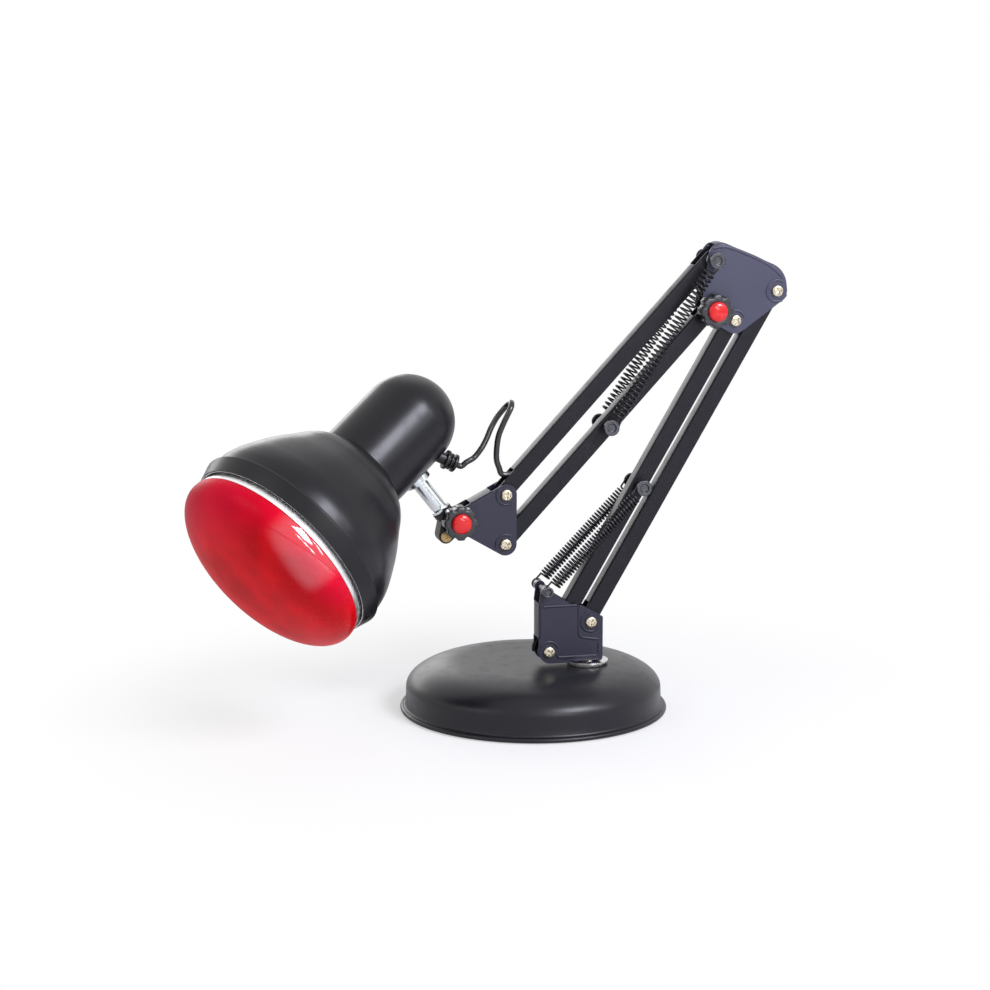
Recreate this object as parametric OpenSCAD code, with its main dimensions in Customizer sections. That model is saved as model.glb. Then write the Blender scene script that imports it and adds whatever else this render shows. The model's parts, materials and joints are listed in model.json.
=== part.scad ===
// Infrared heat lamp on a sprung double-bar arm: a round weighted base, a
// swivelling bracket, lower and upper pairs of parallel bars, an elbow, and a
// head with a reflector bulb that tilts and turns.
// Millimetres. Origin at the centre of the base's underside, +Z up, +X along
// the arm's plane, +Y away from the front.

/* [Base] */
// Radius of the rolled rim
rim_r = 83; // [78:1:90]
// Height of the cover's flat top
base_h = 31; // [29:1:36]
// Diameter of the rolled bead on the rim
bead_d = 3; // [2:0.5:4]
// How far the side wall leans in on its way up
wall_lean = 2.2; // [1:0.1:4]
// Width of the rounded shoulder
shoulder_w = 35; // [25:1:38]
// Height of the rounded shoulder
shoulder_h = 16; // [10:1:18]
// Thickness of the pressed cover
cover_t = 1; // [0.8:0.1:1.4]
// Thickness of the pad underneath
pad_t = 2; // [1.5:0.5:3]
// Thickness of the cast disc inside
weight_t = 12; // [10:1:14]
// Gap between the disc and the cover's wall
weight_gap = 7; // [4:1:12]
// Width of the lead's groove under the disc
groove_w = 12; // [9:1:16]
// Distance of the swivel from the base's centre along the arm
swivel_x = 30.5; // [20:0.5:34]
// Distance of the swivel from the base's centre across the arm
swivel_y = -15; // [-20:1:0]

/* [Swivel] */
// Radius of the swivel pin
pin_r = 6; // [5:0.5:7]
// Radius of the pin's bore
pin_bore_r = 3; // [2.5:0.25:3.5]
// Wall of the nylon bush
bush_wall = 2; // [1.5:0.5:3]
// Radius of the bush's flange
bush_flange_r = 11; // [10:0.5:13]
// Thickness of the bush's flange
bush_flange_t = 0.9; // [0.6:0.1:1.5]
// Radius of the bright washer
washer_r = 13; // [11:0.5:15]
// Thickness of the bright washer
washer_t = 1.4; // [1:0.1:2]

/* [Arm] */
// Pivot distance of the lower bars
lower_len = 233; // [220:1:245]
// Slope of the lower bars at rest, in degrees
lower_slope = 59.8; // [57:0.1:64]
// Pivot distance of the upper bars
upper_len = 190.5; // [180:0.5:200]
// Slope of the upper bars below level at rest, in degrees
upper_slope = 47; // [44:0.5:49]
// Width of a bar
bar_w = 10; // [9:0.1:10.4]
// Outer depth of a bar
bar_depth = 10; // [9:0.5:11]
// Sheet thickness of a bar
bar_t = 1; // [0.8:0.1:1.2]
// How far a bar's middle lies from its pivots, towards its web
bar_shift = 1.3; // [1:0.1:1.4]
// The same for the upper pair's bottom bar
bottom_shift = 0.4; // [0:0.1:1]
// Outer depth of the brackets and the elbow
plate_depth = 14; // [13.5:0.5:16]
// Sheet thickness of the brackets and the elbow
plate_t = 1.2; // [1:0.1:1.4]
// Height of the front pivot above the bracket's floor
front_pivot_h = 25; // [23:0.5:28]
// Distance between the two lower pivots along X
lower_pitch_x = 26.6; // [26:0.1:28]
// Distance between the two lower pivots along Z
lower_pitch_z = 17.5; // [16.5:0.1:18]
// Distance between the two upper pivots along Z
upper_pitch_z = 30.5; // [29:0.5:33]

/* [Springs] */
// Outer diameter of the springs
spring_d = 7.5; // [6:0.5:8]
// Wire diameter
wire_d = 1; // [0.8:0.1:1.2]
// Curls of each spring
curls = 20; // [16:1:22]
// Distance of the springs from the arm's middle
spring_y = 12.5; // [12.5:0.5:14]
// Radius of the hooks' loops
hook_r = 4.2; // [3.8:0.1:4.6]

/* [Knobs and screws] */
// Radius of the clamping knobs
knob_r = 10.5; // [9:0.5:11]
// Thickness of the clamping knobs
knob_t = 9; // [7:0.5:11]
// Radius of the coloured caps
knob_cap_r = 6.1; // [5:0.1:7]
// Scallops round a knob
scallops = 8; // [6:1:12]
// Shank radius of the clamping bolts
bolt_r = 2.5; // [2:0.1:2.7]
// Shank radius of the pivot screws
screw_r = 2; // [1.5:0.1:2.2]
// Head radius of the pivot screws
screw_head_r = 3.6; // [3.2:0.1:4]

/* [Head] */
// Tilt of the stem above level, in degrees
stem_tilt = 52.3; // [48:0.1:56]
// Turn of the head about the stem, in degrees
head_turn = 23; // [0:1:40]
// Distance from the tilt axis to the head's own axis
stem_reach = 64; // [60:1:70]
// Offset of the stem from the tilt axis
stem_offset = 3.3; // [0:0.1:4]
// Outer radius of the stem
stem_r = 4.8; // [4:0.1:4.9]
// Outer radius of the cap
cap_r = 28.9; // [27.5:0.1:31]
// Length of the cap's straight part behind the stem
cap_back = 19; // [16:0.5:22]
// Length of the cap's straight part in front of the stem
cap_front = 26.9; // [25:0.1:30]
// Sheet thickness of the cap and the shade
shade_t = 1; // [0.8:0.1:1.2]
// Length of the shade's bell
bell_len = 61.7; // [58:0.1:66]
// Outer radius of the bell's mouth
bell_r = 63.8; // [62:0.1:66]
// Radius of the step behind the rim band
step_r = 65.8; // [65:0.1:68]
// Length of the rim band
band_len = 10.1; // [8:0.1:12]
// Radius of the front edge
edge_r = 62.6; // [61.5:0.1:63.5]
// Radius of the bulb at its widest
bulb_r = 62.5; // [60:0.5:62.5]
// Distance from the front edge to the bulb's widest ring
bulb_proud = 8.7; // [7:0.1:10]
// Height of the bulb's domed front
dome_h = 24.5; // [20:0.5:28]
// Thickness of the bulb's glass
glass_t = 1.5; // [1:0.1:2]
// Radius of the lampholder
holder_r = 17.5; // [17:0.5:18.5]
// Radius of the bulb's screw cap
screw_cap_r = 13.3; // [13:0.1:13.5]

/* [Lead] */
// Diameter of the lead
lead_d = 3.6; // [3.2:0.1:4]

/* [Hidden] */

// Clearances
run_gap = 0.05;   // a shank in its own bore
open_gap = 0.25;  // a shank in the pivot that closes a linkage
slip = 0.05;      // between a spacer and what turns beside it
fit_gap = 0.1;    // between pieces that are slipped together
seat_gap = 0.3;   // between a curved piece and its seat

paint = "#1d1e22";
plate_paint = "#35363f";
zinc = "#b9b4a6";
nylon = "#e4e2da";
plastic = "#18181a";
red = "#d3202a";
chrome = "#cfd3d6";

// ---- Arm layout, all points [x, z] in the arm's plane ----
floor_z = base_h + bush_flange_t + washer_t + 2 * fit_gap;
lower_dir = [cos(lower_slope), sin(lower_slope)];
upper_angle = 180 + upper_slope;
upper_dir = [cos(upper_angle), sin(upper_angle)];
pivot_a = [swivel_x + 0.2, floor_z + front_pivot_h];
pivot_b = pivot_a - [lower_pitch_x, lower_pitch_z];
pivot_c = pivot_a + lower_len * lower_dir;
pivot_d = pivot_b + lower_len * lower_dir;
elbow_reach = 40.85;
elbow_rise = 19.95;
upper_skew = 0.5;
pivot_e = pivot_c + [-elbow_reach, elbow_rise];
pivot_f = pivot_e - [upper_skew, upper_pitch_z];
pivot_g = pivot_e + upper_len * upper_dir;
pivot_h = pivot_f + upper_len * upper_dir;
tilt_back = 30.25;
tilt_drop = 14.45;
pivot_k = pivot_g - [tilt_back, tilt_drop];

bar_half = bar_depth / 2;
plate_half = plate_depth / 2;
plate_in = plate_half - plate_t;
spacer_t = plate_in - bar_half - 2 * slip;
spacer_r = bar_w / 2 - 0.6;
screw_head_h = 2.2;
nut_h = 2.4;
nut_r = 3.9;

// ---- Two-dimensional helpers ----
function polar(r, a) = [r * cos(a), r * sin(a)];
function unit(v) = v / norm(v);
function wrap(a) = a - 360 * floor(a / 360);
function flip(list) = [for (i = [len(list) - 1:-1:0]) list[i]];
function arc(c, r, a0, a1, n = 8) =
  [for (i = [0:n]) [c[0], c[1]] + polar(r, a0 + (a1 - a0) * i / n)];
// Direction of the outward normal of the line that touches circles p and q
function tangent(p, q) = let(d = [q[0] - p[0], q[1] - p[1]])
  atan2(d[1], d[0]) - acos((p[2] - q[2]) / norm(d));
// Outline of a belt stretched round circles [x, z, r], listed anticlockwise
function belt(cs) = let(n = len(cs)) [for (i = [0:n - 1])
  let(a0 = tangent(cs[(i + n - 1) % n], cs[i]),
      a1 = tangent(cs[i], cs[(i + 1) % n]))
  each arc(cs[i], cs[i][2], a0, a0 + wrap(a1 - a0))];
// Part of such an outline, set in by dr, from angle a0 to angle a1
function run(cs, a0, a1, dr) = let(n = len(cs) - 1) [for (i = [0:n])
  let(from = i == 0 ? a0 : tangent(cs[i - 1], cs[i]),
      to = i == n ? a1 : tangent(cs[i], cs[i + 1]))
  each arc(cs[i], cs[i][2] - dr, from, from + wrap(to - from))];
function strip(cs, a0, a1, t) = concat(run(cs, a0, a1, 0), flip(run(cs, a0, a1, t)));
function disc(p, r) = [p[0], p[1], r];

// ---- Three-dimensional helpers ----
module in_arm() {
  translate([0, swivel_y, 0]) children();
}
// A plate with an [x, z] outline, from y0 to y1
module plate(outline, y0, y1) {
  translate([0, y1, 0]) rotate([90, 0, 0]) linear_extrude(y1 - y0) polygon(outline);
}
// A round bar across the arm at p, from y0 to y1
module cross(p, r, y0, y1) {
  translate([p[0], y0, p[1]]) rotate([-90, 0, 0]) cylinder(r = r, h = y1 - y0, $fn = 48);
}
module both_sides() {
  children();
  mirror([0, 1, 0]) children();
}
module side_plates(outline) {
  both_sides() plate(outline, -plate_half, -plate_in);
}
// Front head, shank and rear nut of a pivot screw
module pivot_screw(p) {
  difference() {
    union() {
      cross(p, screw_r, -plate_half - 0.5, plate_half + nut_h + 0.8);
      translate([p[0], -plate_half, p[1]]) rotate([90, 0, 0]) pan_head();
    }
    for (a = [20, 110])
      translate([p[0], -plate_half - screw_head_h, p[1]]) rotate([0, a, 0])
        translate([-screw_head_r * 0.62, -0.1, -0.35]) cube([screw_head_r * 1.24, 1, 0.7]);
  }
  difference() {
    translate([p[0], plate_half, p[1]]) rotate([-90, 0, 0]) cylinder(r = nut_r, h = nut_h, $fn = 6);
    cross(p, screw_r + run_gap, plate_half - 1, plate_half + nut_h + 1);
  }
}
module pan_head() {
  rotate_extrude($fn = 48)
    polygon([[0, 0], [screw_head_r, 0], each arc([screw_head_r - 1.2, screw_head_h - 1.2], 1.2, 0, 90, 4),
      [0, screw_head_h]]);
}
// Two thin washers that centre a bar between the plates
module spacer_pair(p, hole_r) {
  both_sides() difference() {
    cross(p, spacer_r, -plate_in, -plate_in + spacer_t);
    cross(p, hole_r + run_gap, -plate_in - 1, -plate_in + spacer_t + 1);
  }
}
// A U-shaped bar from p along a, with its web on the side that side gives and
// holes for a pair of posts at post_u, if that isn't 0
module bar(p, a, length, side, near_r, far_r, web_near, web_far, post_u = 0, shift = bar_shift) {
  middle = side * shift;
  half = bar_w / 2;
  web_z = side > 0 ? middle + half - bar_t : middle - half;
  translate([p[0], 0, p[1]]) rotate([0, -a, 0]) difference() {
    union() {
      both_sides() plate(belt([[0, middle, half], [length, middle, half]]), -bar_half, -bar_half + bar_t);
      translate([web_near, -bar_half, web_z]) cube([length - web_near - web_far, bar_depth, bar_t]);
    }
    cross([0, 0], near_r, -bar_half - 1, bar_half + 1);
    cross([length, 0], far_r, -bar_half - 1, bar_half + 1);
    if (post_u > 0) cross([post_u, post_v * side], post_tail_r, -bar_half - 1, bar_half + 1);
  }
}
// A stud riveted into each side of a bar, with a groove for the spring's hook
module posts(p) {
  spool = hook_r - wire_d / 2 - seat_gap;
  both_sides() {
    cross(p, spool, -spring_y - wire_d, -bar_half);
    cross(p, hook_r + 0.6, -spring_y - wire_d - 0.9, -spring_y - wire_d);
    cross(p, post_tail_r, -bar_half, -bar_half + bar_t);
    cross(p, post_tail_r + 0.8, -bar_half + bar_t, -bar_half + bar_t + 0.6);
  }
}
post_tail_r = 1.8;
post_v = 0.5;
lower_post_u = lower_len / 2;
upper_post_u = upper_len / 2;
function along(p, a, u, v) = p + u * [cos(a), sin(a)] + v * [-sin(a), cos(a)];
lower_post = along(pivot_b, lower_slope, lower_post_u, post_v);
upper_post = along(pivot_f, upper_angle, upper_post_u, -post_v);

// ---- Swept tubes ----
function directions(p) = let(n = len(p) - 1)
  [for (i = [0:n]) unit(p[min(i + 1, n)] - p[max(i - 1, 0)])];
function seed(t) = unit(cross(t, abs(t[1]) > 0.8 ? [1, 0, 0] : [0, 1, 0]));
function carry(v, t) = unit(v - (v * t) * t);
function normals(t) = [for (i = 0, v = seed(t[0]); i < len(t);
  i = i + 1, v = i < len(t) ? carry(v, t[i]) : v) v];
// A tube with a ring of the given sides on each point of its path
module tube(path, r, sides) {
  t = directions(path);
  v = normals(t);
  n = len(path);
  rings = [for (i = [0:n - 1]) for (k = [0:sides - 1])
    path[i] + r * (cos(360 * k / sides) * v[i] + sin(360 * k / sides) * cross(t[i], v[i]))];
  walls = [for (i = [0:n - 2]) for (k = [0:sides - 1])
    let(m = (k + 1) % sides, a = i * sides)
    each [[a + k, a + m, a + sides + m], [a + k, a + sides + m, a + sides + k]]];
  start = [for (k = [1:sides - 2]) [0, k + 1, k]];
  last = (n - 1) * sides;
  end = [for (k = [1:sides - 2]) [last, last + k, last + k + 1]];
  polyhedron(rings, [for (f = concat(walls, start, end)) flip(f)]);
}

// ---- Springs ----
ring_sides = 6;
curl_rings = 8;
hook_rings = 10;
hook_from = -30;
hook_to = -270;
coil_r = (spring_d - wire_d) / 2;
// Hook round a pin at x = 0, seen in the plane of the arm, open end first
function hook(r) = [for (i = [0:hook_rings - 1])
  let(a = hook_from + (hook_to - hook_from) * i / (hook_rings - 1))
  [r * cos(a), 0, r * sin(a)]];
// The whole wire, from the hook at x = 0 to the hook at x = l
function spring_path(l, r0, r1) = let(
    lead_in = 3,
    c0 = r0 + lead_in,
    c1 = l - r1 - lead_in,
    turns = curls,
    first = hook(r0),
    tip0 = 2 * first[0] - first[1],
    last = [for (h = flip(hook(r1))) [l - h[0], 0, h[2]]],
    tip1 = 2 * last[hook_rings - 1] - last[hook_rings - 2],
    coil = [for (i = [0:turns * curl_rings])
      let(a = 90 + 360 * i / curl_rings)
      [c0 + (c1 - c0) * i / (turns * curl_rings), coil_r * cos(a), coil_r * sin(a)]])
  concat([first[0] + wire_d * unit(tip0 - first[0])], first, coil, last,
    [last[hook_rings - 1] + wire_d * unit(tip1 - last[hook_rings - 1])]);
function least_gap(p) = let(first = hook_rings + 1, n = curls * curl_rings - curl_rings)
  min([for (i = [first:first + n]) for (k = [-1:1]) norm(p[i + curl_rings + k] - p[i])]) - wire_d;
module spring(p, q, r0, r1, y) {
  d = q - p;
  path = spring_path(norm(d), r0, r1);
  echo(least_gap_of_spring_to_itself = least_gap(path));
  translate([p[0], y, p[1]]) rotate([0, -atan2(d[1], d[0]), 0]) tube(path, wire_d / 2, ring_sides);
}

// ---- Base ----
wall_foot_r = rim_r - bead_d / 2;
wall_top_r = wall_foot_r - wall_lean;
bead_z = 0.6 + bead_d / 2;
shoulder_z = base_h - shoulder_h;
cover_outline = [for (i = [0:12]) let(a = 90 * i / 12)
  [wall_top_r - shoulder_w + shoulder_w * cos(a), shoulder_z + shoulder_h * sin(a)]];
cover_inline = [for (p = flip(cover_outline)) let(q = p - [wall_top_r - shoulder_w, shoulder_z])
  [wall_top_r - shoulder_w + q[0] * (shoulder_w - cover_t) / shoulder_w,
   shoulder_z + q[1] * (shoulder_h - cover_t) / shoulder_h]];
boss_r = 14;
boss_top = base_h - cover_t;
weight_z = pad_t;
weight_r = wall_top_r - weight_gap;
pocket_r = 13;
pocket_top = 12.5;
groove_top = 10.5;
bush_r = pin_r + run_gap + bush_wall;
pin_foot = 9;
pin_nut_h = 2.5;
gland_z = 9.6;
inlet_bore_r = 2.6;
inlet_neck_r = 4.2;
inlet_lip_r = 5.6;
inlet_out = 8;
terminal = [2, 58];

module base_cover() {
  color(paint) difference() {
    union() {
      rotate_extrude($fn = 128) polygon(concat(
        [[wall_foot_r - cover_t, bead_z], [wall_foot_r, bead_z]], cover_outline,
        [[0, base_h], [0, base_h - cover_t]], cover_inline));
      rotate_extrude($fn = 128) translate([wall_foot_r, bead_z]) circle(d = bead_d, $fn = 24);
    }
    translate([swivel_x, swivel_y, base_h - 5]) cylinder(r = bush_r + fit_gap, h = 10, $fn = 48);
    translate([0, wall_top_r - 5, gland_z]) rotate([-90, 0, 0])
      cylinder(r = inlet_neck_r + fit_gap, h = 12, $fn = 48);
  }
}
module base_weight() {
  color("#4a4a4c") difference() {
    union() {
      translate([0, 0, weight_z]) cylinder(r = weight_r, h = weight_t, $fn = 96);
      translate([swivel_x, swivel_y, weight_z]) cylinder(r = boss_r, h = boss_top - weight_z, $fn = 64);
    }
    translate([swivel_x, swivel_y, 0]) {
      cylinder(r = bush_r, h = base_h, $fn = 48);
      translate([0, 0, weight_z - 1]) cylinder(r = pocket_r, h = pocket_top - weight_z + 1, $fn = 64);
    }
    translate([swivel_x, swivel_y, weight_z - 1])
      rotate([0, 0, atan2(terminal[1] - swivel_y, terminal[0] - swivel_x)])
        translate([0, -groove_w / 2, 0]) cube([weight_r * 2, groove_w, groove_top - weight_z + 1]);
  }
}
module base_pad() {
  color("#2a2a2b") cylinder(r = wall_foot_r - cover_t - fit_gap - bead_d / 2, h = pad_t, $fn = 96);
}
module swivel_bush() {
  color(nylon) translate([swivel_x, swivel_y, 0]) difference() {
    union() {
      translate([0, 0, pocket_top]) cylinder(r = bush_r, h = base_h - pocket_top, $fn = 64);
      translate([0, 0, base_h]) cylinder(r = bush_flange_r, h = bush_flange_t, $fn = 64);
    }
    cylinder(r = pin_r + run_gap, h = base_h + 5, $fn = 64);
  }
}
module inlet_gland() {
  color(plastic) translate([0, wall_top_r, gland_z]) rotate([-90, 0, 0]) difference() {
    union() {
      translate([0, 0, -5]) cylinder(r = inlet_neck_r, h = 5 + inlet_out, $fn = 48);
      translate([0, 0, wall_lean + 0.1]) cylinder(r = inlet_lip_r, h = 1.6, $fn = 48);
      translate([0, 0, -5]) cylinder(r = inlet_lip_r, h = 1.6, $fn = 48);
    }
    translate([0, 0, -6]) cylinder(r = inlet_bore_r, h = inlet_out + 7, $fn = 48);
  }
}
module terminal_block() {
  color(nylon) translate([terminal[0], terminal[1], weight_z + 0.1])
    rotate([0, 0, atan2(terminal[1] - swivel_y, terminal[0] - swivel_x)]) difference() {
      translate([0, -5, 0]) cube([11, 10, 7.6]);
      for (y = [-2.5, 2.5]) translate([5.5, y, 5]) cylinder(r = 1.4, h = 5, $fn = 24);
    }
}

// ---- Swivel ----
module swivel_pin() {
  color(zinc) translate([swivel_x, swivel_y, 0]) difference() {
    union() {
      translate([0, 0, pin_foot]) cylinder(r = pin_r, h = floor_z + plate_t - pin_foot, $fn = 64);
      intersection() {
        translate([0, 0, floor_z + plate_t]) cylinder(r = pin_r + 2, h = 1, $fn = 64);
        cube([4 * pin_r, 2 * (plate_half - plate_t - 0.2), 3 * floor_z], center = true);
      }
    }
    translate([0, 0, pin_foot - 1]) cylinder(r = pin_bore_r, h = floor_z, $fn = 48);
  }
}
module pin_nut() {
  color(zinc) translate([swivel_x, swivel_y, pin_foot + 0.3]) difference() {
    cylinder(r = pin_r + 4, h = pin_nut_h, $fn = 6);
    translate([0, 0, -1]) cylinder(r = pin_r + run_gap, h = pin_nut_h + 2, $fn = 64);
  }
}
module swivel_washer() {
  color(chrome) translate([swivel_x, swivel_y, base_h + bush_flange_t + fit_gap]) difference() {
    cylinder(r = washer_r, h = washer_t, $fn = 96);
    translate([0, 0, -1]) cylinder(r = pin_r + run_gap, h = washer_t + 2, $fn = 64);
  }
}

// ---- Base bracket ----
bracket_back = -32.6;   // outer face of the web, from the swivel
bracket_front = 8;      // front edge, from the swivel
lobe_r = 7.4;
lobe = pivot_b + [1.3, 0];
anchor = pivot_b + [-2.3, 39];
anchor_hook_r = 2.8;
ear_r = 3.3;
web_low = floor_z + 16;
web_high = floor_z + 38;
bracket_outline = let(x0 = swivel_x + bracket_back, x1 = swivel_x + bracket_front) concat(
  arc([x1 - 2.5, floor_z + 2.5], 2.5, -90, 0, 4),
  [[x1, pivot_a[1] + 3], pivot_a + [-4, 10], pivot_a + [-12.8, 12], anchor + [5.2, -2.6]],
  arc(anchor, ear_r, -20, 205, 8),
  [[x0, anchor[1] - 6], [x0, lobe[1] + 2]],
  arc(lobe, lobe_r, 180, 265, 8));
module arm_bracket() {
  color(plate_paint) in_arm() difference() {
    union() {
      side_plates(bracket_outline);
      translate([swivel_x + bracket_back, -plate_half, web_low])
        cube([plate_t, plate_depth, web_high - web_low]);
      translate([swivel_x - 12, -plate_half, floor_z]) cube([12 + bracket_front, plate_depth, plate_t]);
    }
    for (p = [pivot_a, pivot_b]) cross(p, screw_r + run_gap, -plate_depth, plate_depth);
    cross(anchor, anchor_pin_r + run_gap, -plate_depth, plate_depth);
    translate([swivel_x, 0, floor_z - 1]) cylinder(r = pin_r + run_gap, h = plate_t + 2, $fn = 64);
  }
}
anchor_pin_r = anchor_hook_r - wire_d / 2 - seat_gap;
module bracket_screws() {
  color(zinc) in_arm() {
    pivot_screw(pivot_a);
    pivot_screw(pivot_b);
  }
}
module bracket_spacers() {
  color(nylon) in_arm() {
    spacer_pair(pivot_a, screw_r);
    spacer_pair(pivot_b, screw_r);
  }
}
module spring_anchor() {
  color(zinc) in_arm() {
    cross(anchor, anchor_pin_r, -spring_y - wire_d, spring_y + wire_d);
    both_sides() {
      cross(anchor, anchor_hook_r + 0.6, -spring_y - wire_d - 0.8, -spring_y - wire_d);
      cross(anchor, anchor_pin_r + 1.2, -spring_y + wire_d, -plate_half);
    }
  }
}

// ---- Bars ----
lower_web = 10;
cord_slot = 14.5;
module lower_rear_bar() {
  color(paint) in_arm() bar(pivot_b, lower_slope, lower_len, 1,
    screw_r + run_gap, screw_r + run_gap, lower_web, lower_web, lower_post_u);
}
module lower_front_bar() {
  color(paint) in_arm() bar(pivot_a, lower_slope, lower_len, 1,
    screw_r + run_gap, screw_r + open_gap, lower_web, lower_web);
}
module upper_top_bar() {
  color(paint) in_arm() bar(pivot_e, upper_angle, upper_len, -1,
    bolt_r + run_gap, screw_r + run_gap, lower_web, cord_slot);
}
module upper_bottom_bar() {
  color(paint) in_arm() bar(pivot_f, upper_angle, upper_len, -1,
    bolt_r + run_gap, screw_r + open_gap, lower_web, lower_web, upper_post_u, bottom_shift);
}
module lower_spring_posts() {
  color(zinc) in_arm() posts(lower_post);
}
module upper_spring_posts() {
  color(zinc) in_arm() posts(upper_post);
}
module lower_spring_front() {
  color(chrome) in_arm() spring(anchor, lower_post, anchor_hook_r, hook_r, -spring_y);
}
module lower_spring_back() {
  color(chrome) in_arm() spring(anchor, lower_post, anchor_hook_r, hook_r, spring_y);
}
module upper_spring_front() {
  color(chrome) in_arm() spring(pivot_e, upper_post, hook_r, hook_r, -spring_y);
}
module upper_spring_back() {
  color(chrome) in_arm() spring(pivot_e, upper_post, hook_r, hook_r, spring_y);
}

// ---- Elbow ----
elbow_circles = [disc(pivot_d, 8), disc(pivot_c, 7), disc(pivot_c + [-8.4, 2.6], 15),
  disc(pivot_e + [4.9, 1.5], 8.7), disc(pivot_f, 7)];
elbow_web = [elbow_circles[1], elbow_circles[2], elbow_circles[3]];
module elbow_shell() {
  color(plate_paint) in_arm() difference() {
    union() {
      side_plates(belt(elbow_circles));
      plate(strip(elbow_web, -20, 115, plate_t), -plate_half, plate_half);
    }
    for (p = [pivot_c, pivot_d]) cross(p, screw_r + run_gap, -plate_depth, plate_depth);
    for (p = [pivot_e, pivot_f]) cross(p, bolt_r + run_gap, -plate_depth, plate_depth);
  }
}
module elbow_screws() {
  color(zinc) in_arm() {
    pivot_screw(pivot_c);
    pivot_screw(pivot_d);
  }
}
module elbow_spacers() {
  color(nylon) in_arm() {
    spacer_pair(pivot_c, screw_r);
    spacer_pair(pivot_d, screw_r);
    spacer_pair(pivot_e, bolt_r);
    spacer_pair(pivot_f, bolt_r);
  }
}
module elbow_hook_bolt() {
  spool = hook_r - wire_d / 2 - seat_gap;
  color(zinc) in_arm() {
    cross(pivot_e, bolt_r, -spring_y - wire_d, spring_y + wire_d);
    both_sides() {
      cross(pivot_e, spool, -spring_y - wire_d, -plate_half);
      cross(pivot_e, hook_r + 0.6, -spring_y - wire_d - 0.9, -spring_y - wire_d);
    }
  }
}
knob_y = plate_half + 1.2;      // front washer under a knob
bolt_end = knob_y + knob_t - 3;
// Bolt with a domed head behind, and a washer in front under the knob
module clamp_bolt(p) {
  cross(p, bolt_r, -bolt_end, plate_half);
  translate([p[0], plate_half, p[1]]) rotate([-90, 0, 0]) rotate_extrude($fn = 48)
    polygon([[0, 0], [6, 0], [6, 0.8], each arc([2.6, 0.8], 2.4, 0, 90, 5), [0, 3.2]]);
  difference() {
    cross(p, 6.5, -knob_y + fit_gap, -plate_half);
    cross(p, bolt_r + run_gap, -knob_y - 1, -plate_half + 1);
  }
}
module elbow_clamp_bolt() {
  color(zinc) in_arm() clamp_bolt(pivot_f);
}
module knob(p) {
  translate([p[0], -knob_y, p[1]]) rotate([90, 0, 0]) difference() {
    cylinder(r = knob_r, h = knob_t, $fn = 96);
    for (i = [0:scallops - 1]) rotate([0, 0, 360 * (i + 0.5) / scallops])
      translate([knob_r + 0.9, 0, -1]) cylinder(r = 2.3, h = knob_t + 2, $fn = 32);
    translate([0, 0, knob_t - 1.5]) cylinder(r = knob_cap_r + fit_gap, h = 5, $fn = 64);
    translate([0, 0, -1]) cylinder(r = bolt_r + fit_gap, h = knob_t - 1.8, $fn = 48);
  }
}
module knob_cap(p) {
  translate([p[0], -knob_y - knob_t + 1.5, p[1]]) rotate([90, 0, 0]) rotate_extrude($fn = 64)
    polygon([[0, 0], [knob_cap_r, 0], [knob_cap_r, 2.2],
      each [for (i = [1:7]) let(a = 90 * i / 8) [knob_cap_r * cos(a), 2.2 + 2.3 * sin(a)]], [0, 4.5]]);
}
module elbow_knob() {
  color(plastic) in_arm() knob(pivot_f);
}
module elbow_knob_cap() {
  color(red) in_arm() knob_cap(pivot_f);
}

// ---- Head bracket ----
head_circles = [disc(pivot_h, 6.9), disc(pivot_g, 6.5), disc(pivot_k, 5.5)];
head_edge = tangent(head_circles[1], head_circles[2]);
module head_bracket() {
  reach = norm(pivot_g - pivot_k);
  color(plate_paint) in_arm() difference() {
    union() {
      side_plates(belt(head_circles));
      translate([pivot_k[0], 0, pivot_k[1]]) rotate([0, 90 - head_edge, 0])
        translate([12, -plate_half, 5.5 - plate_t]) cube([reach - 19, plate_depth, plate_t]);
    }
    for (p = [pivot_g, pivot_h]) cross(p, screw_r + run_gap, -plate_depth, plate_depth);
    cross(pivot_k, bolt_r + run_gap, -plate_depth, plate_depth);
  }
}
module head_screws() {
  color(zinc) in_arm() {
    pivot_screw(pivot_g);
    pivot_screw(pivot_h);
  }
}
module head_spacers() {
  color(nylon) in_arm() {
    spacer_pair(pivot_g, screw_r);
    spacer_pair(pivot_h, screw_r);
  }
}
module head_clamp_bolt() {
  color(zinc) in_arm() clamp_bolt(pivot_k);
}
module head_knob() {
  color(plastic) in_arm() knob(pivot_k);
}
module head_knob_cap() {
  color(red) in_arm() knob_cap(pivot_k);
}

// ---- Knuckle and stem, in a frame with its origin on the tilt axis and the
// stem along +Z; -X there points the way that the lamp shines ----
module at_stem() {
  translate([pivot_k[0], swivel_y, pivot_k[1]]) rotate([0, stem_tilt - 90, 0])
    translate([-stem_offset, 0, 0]) children();
}
stem_foot = bolt_r + 1.3;
barrel_r = stem_r + 1.4;
barrel_top = 10;
knuckle_half = plate_in - 0.2;
rivet_at = [stem_offset - 11.3, -3.2];
module knuckle() {
  color("#5a5038") at_stem() difference() {
    union() {
      plate(belt([[stem_offset, 0, 6.8], [0.5, 3, 5.4], disc(rivet_at, 4.6)]),
        -knuckle_half, knuckle_half);
      cylinder(r = knuckle_half + fit_gap, h = 7.5, $fn = 48);
      translate([0, 0, 7]) cylinder(r = barrel_r, h = barrel_top - 7, $fn = 48);
    }
    cross([stem_offset, 0], bolt_r + run_gap, -plate_depth, plate_depth);
    translate([0, 0, stem_foot]) cylinder(r = stem_r + run_gap, h = barrel_top, $fn = 48);
    cross(rivet_at, 1.95, -plate_depth, plate_depth);
  }
}
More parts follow.
